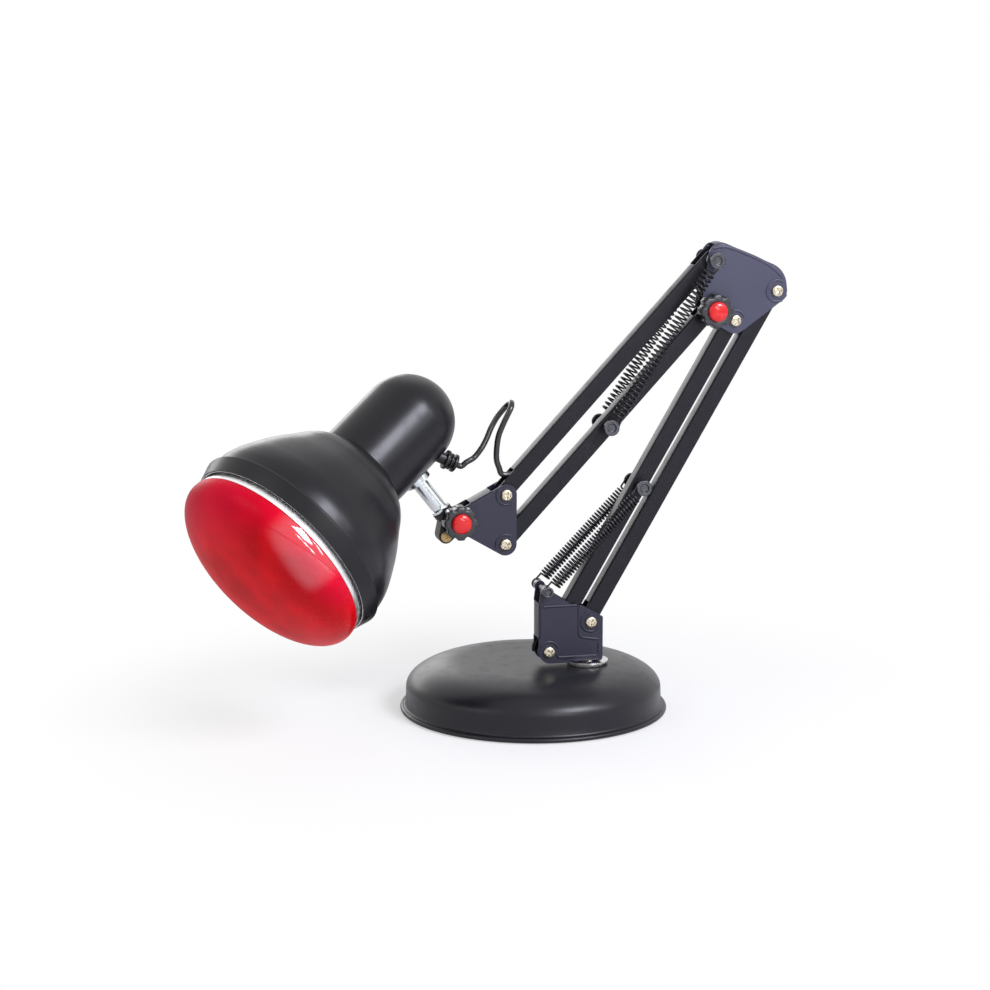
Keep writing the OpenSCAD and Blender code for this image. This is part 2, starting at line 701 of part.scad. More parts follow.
module knuckle_rivet() {
  color("#b8904a") at_stem() {
    cross(rivet_at, 1.95, -knuckle_half, knuckle_half);
    both_sides() difference() {
      cross(rivet_at, 3.4, -knuckle_half - 1.2, -knuckle_half);
      cross(rivet_at, 1.2, -knuckle_half - 2, -knuckle_half - 0.6);
    }
  }
}
stem_bore_r = 3.4;
saddle_z = stem_reach - cap_r;
stem_top = saddle_z + 7;
module stem_tube() {
  color(chrome) at_stem() difference() {
    union() {
      translate([0, 0, stem_foot + fit_gap])
        cylinder(r = stem_r, h = stem_top - stem_foot - fit_gap, $fn = 64);
      translate([0, 0, barrel_top + fit_gap]) cylinder(r = stem_r + 1.2, h = 2, $fn = 64);
    }
    translate([0, 0, stem_foot]) cylinder(r = stem_bore_r, h = stem_top, $fn = 48);
  }
}

// ---- Head, in a frame with its origin where the stem's axis meets the
// head's: the lamp shines along -X there, and the stem comes up along +Z ----
module at_head() {
  at_stem() translate([0, 0, stem_reach]) rotate([0, 0, head_turn]) children();
}
// A turned piece with an outline of [radius, distance towards the front]
module turned(outline, fn = 96) {
  at_head() rotate([0, -90, 0]) rotate_extrude($fn = fn) polygon(outline);
}
saddle_r = 8.5;
module stem_saddle() {
  color(chrome) at_head() difference() {
    translate([0, 0, -cap_r - 2.4]) cylinder(r = saddle_r, h = 4, $fn = 64);
    translate([40, 0, 0]) rotate([0, -90, 0]) cylinder(r = cap_r + fit_gap, h = 80, $fn = 128);
    translate([0, 0, -cap_r - 5]) cylinder(r = stem_r + fit_gap, h = 10, $fn = 64);
  }
}
stem_nut_r = 7;
stem_nut_h = 2.4;
stem_nut_z = fit_gap - sqrt(pow(cap_r - shade_t, 2) - pow(stem_nut_r, 2));
module stem_nut() {
  color(zinc) at_head() difference() {
    translate([0, 0, stem_nut_z]) cylinder(r = stem_nut_r, h = stem_nut_h, $fn = 6);
    translate([0, 0, -cap_r]) cylinder(r = stem_r + run_gap, h = 20, $fn = 64);
  }
}
module head_cap() {
  inner = cap_r - shade_t;
  color(paint) difference() {
    turned(concat(
      [[cap_r, cap_front]],
      [for (i = [0:12]) let(a = -90 * i / 12) [cap_r * cos(a), -cap_back + cap_r * sin(a)]],
      [for (i = [12:-1:0]) let(a = -90 * i / 12) [inner * cos(a), -cap_back + inner * sin(a)]],
      [[inner, cap_front]]));
    at_head() {
      translate([0, 0, -cap_r - 3]) cylinder(r = stem_r + fit_gap, h = 8, $fn = 64);
      gland_place() translate([0, 0, -6]) cylinder(r = gland_neck_r + fit_gap, h = 12, $fn = 48);
    }
  }
}
// Flare of the bell: distance along it and share of its growth in radius
flare = [[0, 0], [5, 0.2], [10, 0.325], [15, 0.415], [20, 0.51], [25, 0.605], [30, 0.69], [35, 0.765],
  [40, 0.835], [45, 0.902], [50, 0.953], [55, 0.985], [61.7, 1]];
bell_z = cap_front;
function bell(dr) = [for (f = flare)
  [cap_r + (bell_r - cap_r) * f[1] - dr, bell_z + f[0] * bell_len / 61.7]];
mouth_z = bell_z + bell_len;
edge_z = mouth_z + band_len;
sleeve = 7;
module bell_shade() {
  color(paint) turned(concat(bell(0),
    [[step_r, mouth_z], [step_r, mouth_z + 1.2], [edge_r, edge_z], [edge_r - shade_t, edge_z],
     [step_r - shade_t, mouth_z + 1.6], [bell_r - shade_t, mouth_z + 1]],
    flip([for (i = [1:len(flare) - 2]) bell(shade_t)[i]]),
    [[cap_r - 2 * shade_t - fit_gap, bell_z + shade_t],
     [cap_r - 2 * shade_t - fit_gap, bell_z - sleeve], [cap_r - shade_t - fit_gap, bell_z - sleeve],
     [cap_r - shade_t - fit_gap, bell_z]]), 128);
}

// ---- Lampholder and bulb ----
contact_z = -28;
holder_back = contact_z - 4;
holder_front = 3.3;
module lampholder() {
  color(nylon) difference() {
    turned([[0, holder_back], [holder_r - 2, holder_back], [holder_r, holder_back + 2],
      [holder_r, holder_front], [screw_cap_r + fit_gap, holder_front],
      [screw_cap_r + fit_gap, contact_z - fit_gap], [0, contact_z - fit_gap]]);
    at_head() for (y = [-6, 6]) translate([-holder_back - 2, y, 0]) rotate([0, 90, 0])
      cylinder(r = 1.5, h = 5, $fn = 24);
  }
}
clamp_t = 1.4;
clamp_len = 12;
clamp_half = 7;
module holder_clamp() {
  foot = stem_nut_z + stem_nut_h + fit_gap;
  color(zinc) at_head() difference() {
    union() {
      rotate([0, -90, 0]) translate([0, 0, -clamp_len / 2])
        cylinder(r = holder_r + fit_gap + clamp_t, h = clamp_len, $fn = 64);
      translate([-clamp_len / 2, -clamp_half, foot]) cube([clamp_len, clamp_half * 2, -foot - holder_r + 3]);
    }
    rotate([0, -90, 0]) translate([0, 0, -clamp_len])
      cylinder(r = holder_r + fit_gap, h = clamp_len * 2, $fn = 64);
    translate([-clamp_len, clamp_t - clamp_half, foot + clamp_t])
      cube([clamp_len * 2, (clamp_half - clamp_t) * 2, 5]);
    translate([0, 0, foot - 1]) cylinder(r = stem_r + run_gap, h = 4, $fn = 48);
  }
}
module bulb_screw_cap() {
  shell = [for (i = [0:24]) [screw_cap_r - 0.45 + 0.45 * cos(i * 90), contact_z + 4 + i * 0.9]];
  color("#c8b070") turned(concat(
    [[0, contact_z], [4.5, contact_z], [5, contact_z + 1.5], [screw_cap_r - 2, contact_z + 3]],
    shell, [[screw_cap_r, 0], [neck_r, 0], [neck_r, bulb_foot], [0, bulb_foot]]), 64);
}
neck_r = 12;
bulb_foot = 2;
shoulder_back = 5.5;
bulb_z = edge_z + bulb_proud;
joint_z = bulb_z - shoulder_back;
joint_r = bulb_r - 1.9;
// Silvered back of the bulb: share of its length and share of its growth in radius
back_curve = [[0, 0], [0.1, 0.03], [0.2, 0.1], [0.3, 0.22], [0.4, 0.36], [0.5, 0.49], [0.6, 0.61],
  [0.7, 0.71], [0.8, 0.79], [0.9, 0.86], [0.97, 0.93], [1, 1]];
bulb_neck_r = 16;
function back(dr) = [for (f = back_curve) [bulb_neck_r + (joint_r - bulb_neck_r) * f[1] - dr,
  bulb_foot + 2 + (joint_z - bulb_foot - 2) * f[0]]];
module bulb_reflector() {
  inside = [for (i = [len(back_curve) - 1:-1:1]) back(glass_t)[i]];
  color("#c9cbd0") turned(concat(
    [[neck_r - 4, bulb_foot + fit_gap], [screw_cap_r - 0.5, bulb_foot + fit_gap],
    [screw_cap_r - 0.5, bulb_foot + 1.7]], back(0),
    inside, [[neck_r - 4, bulb_foot + 4]]), 96);
}
module bulb_front() {
  function dome(dr) = [for (i = [0:10]) let(a = 90 * i / 10)
    [(bulb_r - dr) * cos(a), bulb_z + (dome_h - dr) * sin(a)]];
  color(red) turned(concat([[joint_r, joint_z + fit_gap], [bulb_r - 0.4, joint_z + 2.6]], dome(0),
    flip(dome(glass_t)), [[joint_r - glass_t, joint_z + fit_gap]]), 96);
}
module bulb_filament() {
  color("#9a9a9a") {
    turned([[0, bulb_foot + fit_gap], [7, bulb_foot + fit_gap], [7, bulb_foot + 14],
      [3, bulb_foot + 24], [0, bulb_foot + 24]], 32);
    at_head() {
      for (y = [-4.5, 4.5]) translate([-bulb_foot - 12, y, 0]) rotate([0, -90, 0])
        cylinder(r = 0.5, h = 30, $fn = 16);
      translate([-bulb_foot - 42, 0, 0]) rotate([0, -90, 0]) rotate_extrude($fn = 48)
        translate([4.5, 0]) circle(r = 0.7, $fn = 16);
    }
  }
}

// ---- Gland on the cap, and the leads ----
gland_t = 19;
gland_roll = -10;
gland_lean = 25;
gland_neck_r = 3.6;
gland_len = 11;
module gland_place() {
  translate([gland_t, 0, 0]) rotate([gland_roll, 0, 0]) translate([0, 0, -cap_r])
    rotate([0, -gland_lean, 0]) rotate([180, 0, 0]) children();
}
module head_gland() {
  color(plastic) at_head() difference() {
    gland_place() {
      translate([0, 0, -3]) cylinder(r = gland_neck_r, h = 3 + gland_len, $fn = 48);
      translate([0, 0, 3.4]) cylinder(r = 6, h = 2, $fn = 48);
      translate([0, 0, 6.6]) cylinder(r = 5.2, h = 1.2, $fn = 48);
      translate([0, 0, gland_len - 2]) cylinder(r = 5.6, h = 2, $fn = 48);
    }
    gland_place() translate([0, 0, -4]) cylinder(r = lead_d / 2 + 0.2, h = gland_len + 5, $fn = 48);
  }
}
lead_r = lead_d / 2;
lead_sides = 8;
// Straight leads in the bars, from u0 to u1 at height v in the bar's own frame
module bar_lead(p, a, u0, u1, v0, v1) {
  q0 = along(p, a, u0, v0);
  q1 = along(p, a, u1, v1);
  d = q1 - q0;
  translate([q0[0], 0, q0[1]]) rotate([0, 90 - atan2(d[1], d[0]), 0])
    cylinder(r = lead_r, h = norm(d), $fn = 32);
}
lead_end = 14;
lead_v = 0.8;
loop_u = 18.5;
loop_v = -1.5;
module lower_arm_lead() {
  color("#101011") in_arm() bar_lead(pivot_b, lower_slope, lead_end, lower_len - lead_end, -lead_v, -lead_v);
}
module upper_arm_lead() {
  color("#101011") in_arm() bar_lead(pivot_e, upper_angle, lead_end, upper_len - loop_u, lead_v, loop_v);
}

function lift(list) = [for (p = list) [p[0], 0, p[1]]];
function spline(p, n) = let(m = len(p) - 1) concat([for (i = [0:m - 1])
  let(a = p[max(i - 1, 0)], b = p[i], c = p[i + 1], d = p[min(i + 2, m)])
  for (k = [0:n - 1]) let(t = k / n)
    0.5 * (2 * b + (c - a) * t + (2 * a - 5 * b + 4 * c - d) * t * t
      + (3 * b - a - 3 * c + d) * t * t * t)], [p[m]]);
function turn_z(p, a) = [p[0] * cos(a) - p[1] * sin(a), p[0] * sin(a) + p[1] * cos(a), p[2]];
function turn_y(p, a) = [p[0] * cos(a) + p[2] * sin(a), p[1], p[2] * cos(a) - p[0] * sin(a)];
// A direction and a point of the head's own frame, in the arm's frame
function head_way(v) = turn_y(turn_z(v, head_turn), stem_tilt - 90);
function head_spot(p) = [pivot_k[0], 0, pivot_k[1]]
  + turn_y(turn_z(p, head_turn) + [-stem_offset, 0, stem_reach], stem_tilt - 90);
gland_way = [sin(gland_lean), cos(gland_lean) * sin(gland_roll), -cos(gland_lean) * cos(gland_roll)];
gland_base = [gland_t, cap_r * sin(gland_roll), -cap_r * cos(gland_roll)];
gland_tip = gland_base + gland_len * gland_way;

// Neighbouring stretches of the lead end square, a little apart
lead_gap = 0.3;
lead_stub = 0.6;
// From the terminal block along the groove, then up into the pin
module base_lead() {
  low = weight_z + 3;
  rise = pin_foot - lead_gap - lead_stub - low;
  way = unit([swivel_x, swivel_y] - terminal);
  color("#101011") tube(concat([[terminal[0], terminal[1], low]],
    [for (a = [0:15:90]) let(back = rise * (1 - sin(a)))
      [swivel_x - back * way[0], swivel_y - back * way[1], low + rise * (1 - cos(a))]],
    [[swivel_x, swivel_y, pin_foot - lead_gap]]), lead_r, lead_sides);
}
// From the pin's foot up through it, then across into the rear bar
module bracket_lead() {
  up = floor_z + 4.7;
  last = along(pivot_b, lower_slope, lead_end - lead_gap - lead_stub, -lead_v);
  bend = last + 5 * [sin(lower_slope), -cos(lower_slope)];
  color("#101011") in_arm() tube(lift(concat([[swivel_x, pin_foot]],
    arc([swivel_x - 7, up], 7, 0, 90, 6), arc(bend, 5, 270, 90 + lower_slope, 6),
    [along(last, lower_slope, lead_stub, 0)])), lead_r, lead_sides);
}
// From the rear bar between the screws into the top bar
module elbow_lead() {
  first = along(pivot_b, lower_slope, lower_len - lead_end + lead_gap, -lead_v);
  last = along(pivot_e, upper_angle, lead_end - lead_gap - lead_stub, lead_v);
  bend = last - polar(9, upper_angle - 90);
  color("#101011") in_arm() tube(lift(concat(
    spline([first, first + 3.5 * lower_dir, pivot_d + [-3.3, -5], pivot_d + [-5.7, 0.4],
      pivot_d + [-7.3, 6.6], bend + [9, -7], bend + [9, -2]], 2),
    arc(bend, 9, 0, upper_angle - 90, 7), [along(last, upper_angle, lead_stub, 0)])), lead_r, lead_sides);
}
// From the gland round behind the lampholder, then two cores into it
module head_lead() {
  fork = [38.5, -4, -11];
  color("#101011") at_head() {
    tube(concat([gland_tip], spline([gland_base - 3 * gland_way, [16.5, -6, -23], [20, -10, -21.5],
      [27, -11, -21], [34, -8, -17.5], fork], 3)), lead_r, lead_sides);
    for (y = [-6, 6]) tube(spline([fork + [-0.5, 0.25 * y / 6, 0.5], [40, -2 + y / 3, -6], [39, y, -1.5],
      [36, y, 0], [-holder_back - 1.5, y, 0]], 3), 0.8, lead_sides);
  }
}
// Free loop of the lead from the top bar to the gland on the cap. Each point
// is [x, y, z] from the joint under it
loop_points = [[-0.5, 0, 11.5], [-3, 0, 16], [-4.5, 0, 21], [-4.5, -0.5, 28], [-3.5, -1, 35.5],
  [-1, -1.5, 42], [2, -1.5, 49.5], [4.5, -0.5, 54], [5.5, 2, 55], [4, 4.5, 54.5], [1, 6, 50.5],
  [-3, 6.5, 45], [-6.5, 6, 39], [-9.5, 5, 32.5], [-13, 4.5, 27], [-17.5, 4, 22], [-22.5, 3, 19.5]];
loop_start = along(pivot_e, upper_angle, upper_len - loop_u, loop_v);
module cord_loop() {
  tip = head_spot(gland_tip);
  way = head_way(gland_way);
  near = lead_gap + lead_stub;
  curve = spline(concat(lift([loop_start + near * upper_dir, loop_start + 3.8 * upper_dir]),
    [for (p = loop_points) [pivot_g[0], 0, pivot_g[1]] + p], [tip + 3.8 * way, tip + near * way]), 2);
  path = concat(lift([loop_start + lead_gap * upper_dir]), curve, [tip + lead_gap * way]);
  color("#101011") in_arm() tube(path, lead_r, lead_sides);
}

// ---- Assembly ----
base_cover();
base_weight();
base_pad();
swivel_bush();
inlet_gland();
terminal_block();
base_lead();
swivel_pin();
pin_nut();
swivel_washer();
arm_bracket();
bracket_screws();
bracket_spacers();
spring_anchor();
bracket_lead();
lower_rear_bar();
lower_spring_posts();
lower_arm_lead();
lower_front_bar();
lower_spring_front();
lower_spring_back();
elbow_shell();
elbow_screws();
elbow_spacers();
elbow_hook_bolt();
elbow_clamp_bolt();
elbow_lead();
elbow_knob();
elbow_knob_cap();
upper_top_bar();
upper_arm_lead();
upper_bottom_bar();
upper_spring_posts();
upper_spring_front();
upper_spring_back();
head_bracket();
head_screws();
head_spacers();
head_clamp_bolt();
head_knob();
head_knob_cap();
knuckle();
knuckle_rivet();
stem_tube();
stem_saddle();
stem_nut();
head_cap();
bell_shade();
lampholder();
holder_clamp();
bulb_screw_cap();
bulb_reflector();
bulb_front();
bulb_filament();
head_gland();
head_lead();
cord_loop();
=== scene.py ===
"""Infrared heat lamp on a sprung swing arm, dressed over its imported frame.

Sizes are millimetres in the frame's own axes until a mesh is written, which
turns them into metres. The arm lies in the plane y = ARM_Y, and points in that
plane are (x, z) pairs. Every shape is a grid worked out with numpy.
"""

from __future__ import annotations

import json
import logging
from dataclasses import dataclass
from enum import Enum
from math import radians
from typing import Any, Sequence

import bmesh
import bpy
import numpy as np
import numpy.typing as npt
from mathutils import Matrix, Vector

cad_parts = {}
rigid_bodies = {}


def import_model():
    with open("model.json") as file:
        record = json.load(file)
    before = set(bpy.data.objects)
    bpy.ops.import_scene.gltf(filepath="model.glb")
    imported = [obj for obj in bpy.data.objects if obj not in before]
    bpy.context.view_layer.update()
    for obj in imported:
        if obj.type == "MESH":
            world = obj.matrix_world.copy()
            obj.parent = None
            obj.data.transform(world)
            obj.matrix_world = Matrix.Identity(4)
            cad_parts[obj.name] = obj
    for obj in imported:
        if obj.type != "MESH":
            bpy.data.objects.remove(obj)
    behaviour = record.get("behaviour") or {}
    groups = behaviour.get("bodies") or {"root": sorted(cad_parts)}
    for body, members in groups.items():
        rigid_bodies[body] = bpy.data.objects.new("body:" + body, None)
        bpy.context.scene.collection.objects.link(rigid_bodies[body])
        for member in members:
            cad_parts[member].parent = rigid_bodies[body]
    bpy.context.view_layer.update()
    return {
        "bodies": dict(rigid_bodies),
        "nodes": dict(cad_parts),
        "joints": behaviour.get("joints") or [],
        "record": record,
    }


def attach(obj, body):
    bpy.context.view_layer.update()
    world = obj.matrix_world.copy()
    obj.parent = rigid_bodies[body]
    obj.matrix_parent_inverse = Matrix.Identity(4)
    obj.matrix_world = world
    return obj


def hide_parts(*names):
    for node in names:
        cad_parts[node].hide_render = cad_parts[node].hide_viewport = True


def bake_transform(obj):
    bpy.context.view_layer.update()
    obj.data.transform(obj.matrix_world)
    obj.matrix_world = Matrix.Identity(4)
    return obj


LOG = logging.getLogger("heat_lamp")
MM = 0.001
ARM_Y = -15.0
CORNER_STEPS = 28  # spans in a plate's rounded corner
WHITE = (1.0, 1.0, 1.0)
Array = npt.NDArray[np.float64]
Colour = tuple[float, float, float]


# ---------------------------------------------------------------- shader help


class Wire:
    """A shader value whose arithmetic adds Math nodes."""

    def __init__(self, nodes: "Nodes", socket: Any) -> None:
        """Keeps the node tree that the value belongs to and its output socket."""
        self.nodes = nodes
        self.socket = socket

    def _math(self, operation: str, *values: Any) -> "Wire":
        """Adds one Math node on these values and returns its result."""
        return self.nodes.node("ShaderNodeMath", {"operation": operation}, dict(enumerate(values)))

    def __add__(self, other: Any) -> "Wire":
        """Sum."""
        return self._math("ADD", self, other)

    def __sub__(self, other: Any) -> "Wire":
        """Difference."""
        return self._math("SUBTRACT", self, other)

    def __rsub__(self, other: Any) -> "Wire":
        """Difference, reflected."""
        return self._math("SUBTRACT", other, self)

    def __mul__(self, other: Any) -> "Wire":
        """Product."""
        return self._math("MULTIPLY", self, other)

    __radd__ = __add__
    __rmul__ = __mul__

    def sine(self) -> "Wire":
        """Sine, in radians."""
        return self._math("SINE", self)

    def larger(self, other: Any) -> "Wire":
        """The larger of the two."""
        return self._math("MAXIMUM", self, other)

    def between(self, low: float, high: float) -> "Wire":
        """0 below low, 1 above high, smooth in between."""
        return self.nodes.node("ShaderNodeMapRange", {"interpolation_type": "SMOOTHSTEP"},
                               {"Value": self, "From Min": low, "From Max": high})


class Nodes:
    """A node tree to which every node is added by one method."""

    def __init__(self, tree: bpy.types.NodeTree) -> None:
        """Keeps the tree and empties it."""
        self.tree = tree
        tree.nodes.clear()

    def node(self, kind: str, settings: dict[str, Any] | None = None,
             inputs: dict[Any, Any] | None = None, out: Any = 0) -> Wire:
        """Adds a node.

        Args:
            kind: the node's type.
            settings: its properties, which are set first.
            inputs: socket name or number to a Wire, a number, a vector or a
                colour of three numbers.
            out: name or number of the output to return.

        Returns:
            The chosen output; it has no socket if the node has no outputs.
        """
        made = self.tree.nodes.new(kind)
        for key, value in (settings or {}).items():
            setattr(made, key, value)
        for key, value in (inputs or {}).items():
            socket = made.inputs[key]
            if isinstance(value, Wire):
                self.tree.links.new(value.socket, socket)
            elif socket.type == "RGBA":
                socket.default_value = (*value, 1.0)
            else:
                socket.default_value = value
        return Wire(self, made.outputs[out] if len(made.outputs) else None)

    def ray(self, kind: str) -> Wire:
        """1 for rays of a kind, such as Is Camera Ray, and 0 for the others."""
        return self.node("ShaderNodeLightPath", out=kind)

    def mix(self, share: Wire, first: Wire, second: Wire) -> Wire:
        """Mixes two shaders: a share of 0 gives the first, 1 the second."""
        return self.node("ShaderNodeMixShader", {}, {0: share, 1: first, 2: second})


class Shader(Nodes):
    """Builds one material's node tree round a Principled BSDF."""

    def __init__(self, name: str) -> None:
        """Makes the material of this name."""
        self.material = bpy.data.materials.new(name)
        self.material.use_nodes = True
        super().__init__(self.material.node_tree)

    def place(self, scale: Sequence[float] = (1, 1, 1)) -> Wire:
        """Object coordinates in millimetres, stretched by scale."""
        where = self.node("ShaderNodeTexCoord", out="Object")
        return self.node("ShaderNodeVectorMath", {"operation": "MULTIPLY"},
                         {0: where, 1: tuple(1000.0 * s for s in scale)})

    def noise(self, size: float, detail: float = 3.0, where: Wire | None = None) -> Wire:
        """Noise with features of about size millimetres, from 0 to 1."""
        return self.node("ShaderNodeTexNoise", {},
                         {"Vector": where or self.place(), "Scale": 1.0 / size, "Detail": detail})

    def blend(self, share: Wire | float, low: Colour | Wire, high: Colour | Wire) -> Wire:
        """Mixes two colours: a share of 0 gives low, 1 gives high."""
        return self.node("ShaderNodeMix", {"data_type": "RGBA"}, {0: share, 6: low, 7: high}, out=2)

    def bump(self, height: Wire, depth: float) -> Wire:
        """Normal from a height of 0 to 1, depth millimetres deep."""
        return self.node("ShaderNodeBump", {}, {"Height": height, "Strength": 1.0, "Distance": depth * MM})

    def surface(self, **values: Any) -> Wire:
        """A Principled BSDF, its sockets set by name, with _ for a space."""
        inputs = {key.replace("_", " "): value for key, value in values.items()}
        return self.node("ShaderNodeBsdfPrincipled", {}, inputs)

    def finished(self, surface: Wire) -> bpy.types.Material:
        """Gives a shader to the material's output and returns the material."""
        self.node("ShaderNodeOutputMaterial", {}, {"Surface": surface})
        return self.material

    def dress(self, **values: Any) -> bpy.types.Material:
        """The material of one Principled BSDF with these sockets."""
        return self.finished(self.surface(**values))


# ------------------------------------------------------------------- finishes


def lighter(colour: Colour, gain: float, lift: float) -> Colour:
    """The colour times gain plus lift, at most 1."""
    return tuple(min(1.0, c * gain + lift) for c in colour)


@dataclass(frozen=True)
class Finish:
    """What every finish has: a name and the record's slot."""

    name: str
    slot: str

    def material(self) -> bpy.types.Material:
        """The finish's material, made once."""
        return bpy.data.materials.get(self.name) or self.build(Shader(self.name))

    def build(self, s: Shader) -> bpy.types.Material:
        """Builds the material in a fresh shader."""
        raise NotImplementedError


@dataclass(frozen=True)
class Enamel(Finish):
    """Satin stoving enamel: orange peel, faint clouding, rubbed patches."""

    colour: Colour
    rough: float = 0.38
    peel: float = 0.02
    dust: float = 0.2
    specular: float = 0.5
    liner: Colour | None = None

    def build(self, s: Shader) -> bpy.types.Material:
        """Colour clouds over 20 mm, peel at 0.7 mm, dust as bright specks; a
        liner colour goes where the mesh's attribute "inner" is 1."""
        cloud = s.noise(22.0)
        rub = s.noise(7.0, 6.0).between(0.48, 0.72)
        specks = s.noise(0.55, 2.0).between(0.68, 0.74)
        light = lighter(self.colour, 1.35, 0.004)
        colour = s.blend(cloud * 0.6 + specks * self.dust, self.colour, light)
        if self.liner:
            inner = s.node("ShaderNodeAttribute", {"attribute_name": "inner"}, out="Fac")
            colour = s.blend(inner, colour, self.liner)
        peel = s.noise(0.7, 4.0) * 0.7 + s.noise(3.2, 2.0) * 0.5
        rough = cloud * 0.08 + rub * 0.06 + (self.rough - 0.07)
        return s.dress(Base_Color=colour, Roughness=rough, Specular_IOR_Level=self.specular,
                       Normal=s.bump(peel, self.peel))


@dataclass(frozen=True)
class Metal(Finish):
    """Bare or plated metal with drawn lines along one axis and dull spots."""

    colour: Colour
    rough: float = 0.25
    lines: tuple[float, float, float] = (1.0, 1.0, 1.0)
    scratch: float = 0.004
    stain: Colour = (0.3, 0.28, 0.25)
    stained: float = 0.25

    def build(self, s: Shader) -> bpy.types.Material:
        """Stretched noise gives the lines, cloudy noise the dull spots."""
        lines = s.noise(0.6, 3.0, s.place(self.lines))
        spots = s.noise(2.6, 5.0).between(0.45, 0.75)
        colour = s.blend(spots * self.stained, self.colour, self.stain)
        rough = spots * 0.14 + lines * 0.06 + (self.rough - 0.05)
        return s.dress(Base_Color=colour, Metallic=1.0, Roughness=rough,
                       Normal=s.bump(lines, self.scratch))


@dataclass(frozen=True)
class Moulded(Finish):
    """Moulded plastic, rubber or glazed ware."""

    colour: Colour
    rough: float = 0.3
    grain: float = 0.01
    grain_size: float = 0.8
    coat: float = 0.0
    specular: float = 0.3

    def build(self, s: Shader) -> bpy.types.Material:
        """Fine moulded grain, with a slow change of tone and gloss."""
        slow = s.noise(9.0)
        fine = s.noise(self.grain_size, 4.0)
        colour = s.blend(slow * 0.7, self.colour, lighter(self.colour, 1.25, 0.003))
        rough = slow * 0.1 + fine * 0.05 + (self.rough - 0.07)
        return s.dress(Base_Color=colour, Roughness=rough, Specular_IOR_Level=self.specular,
                       Coat_Weight=self.coat, Coat_Roughness=0.06, Normal=s.bump(fine, self.grain))


@dataclass(frozen=True)
class RedGlass(Finish):
    """Ruby glass front: small lenslets on one side of the dome, a painted pink sheen towards the top of the
    rim and along the near rim where the window is mirrored, a faint painted glow, and a clear gloss."""

    colour: Colour = (0.6, 0.001, 0.006)
    deep: Colour = (0.42, 0.0, 0.004)
    pale: Colour = (0.72, 0.004, 0.06)

    def build(self, s: Shader) -> bpy.types.Material:
        """Lenslets are the product of two sines on the dome's own map, in
        millimetres from its centre; they fade towards the far side. The coat
        is only on the side of the rim that mirrors the window."""
        where = s.node("ShaderNodeUVMap", {"uv_map": "dome"})
        x, y = (s.node("ShaderNodeSeparateXYZ", {}, {0: where}, out=axis) * 1000.0 for axis in ("X", "Y"))
        left = x * -1.0
        grid = (x * 1.7 + y * 0.5).sine() * (y * 1.7 - x * 0.5).sine()
        clear = left.between(46.0, 55.0) * y.between(-18.0, -8.0) * (1.0 - y.between(24.0, 34.0))
        frost = x.between(-40.0, 10.0)
        tone = s.blend(s.noise(30.0, 2.0).between(0.3, 0.7), self.deep, self.colour)
        # Painted sheen: the glass turns pinker towards the top of the rim and along the near rim, where the
        # window's reflection falls; this stands in for light, not a tint of the glass.
        painted_sheen = left.between(44.0, 62.0) * 0.3 + y.between(20.0, 62.0) * 0.35
        pale = s.blend(painted_sheen + grid * frost * 0.05, tone, self.pale)
        soft = s.noise(1.6, 3.0)
        height = grid * frost * 0.5 + soft * frost * 0.4
        rough = frost * 0.15 + soft * 0.06 + 0.24
        # The emission is a painted glow: it stands in for outside light passing through the unlit ruby glass.
        return s.dress(Base_Color=pale, Roughness=rough, Specular_IOR_Level=0.08,
                       Coat_Weight=clear, Coat_Roughness=0.02, Coat_IOR=1.85,
                       Emission_Color=pale, Emission_Strength=0.12, Normal=s.bump(height, 0.05))


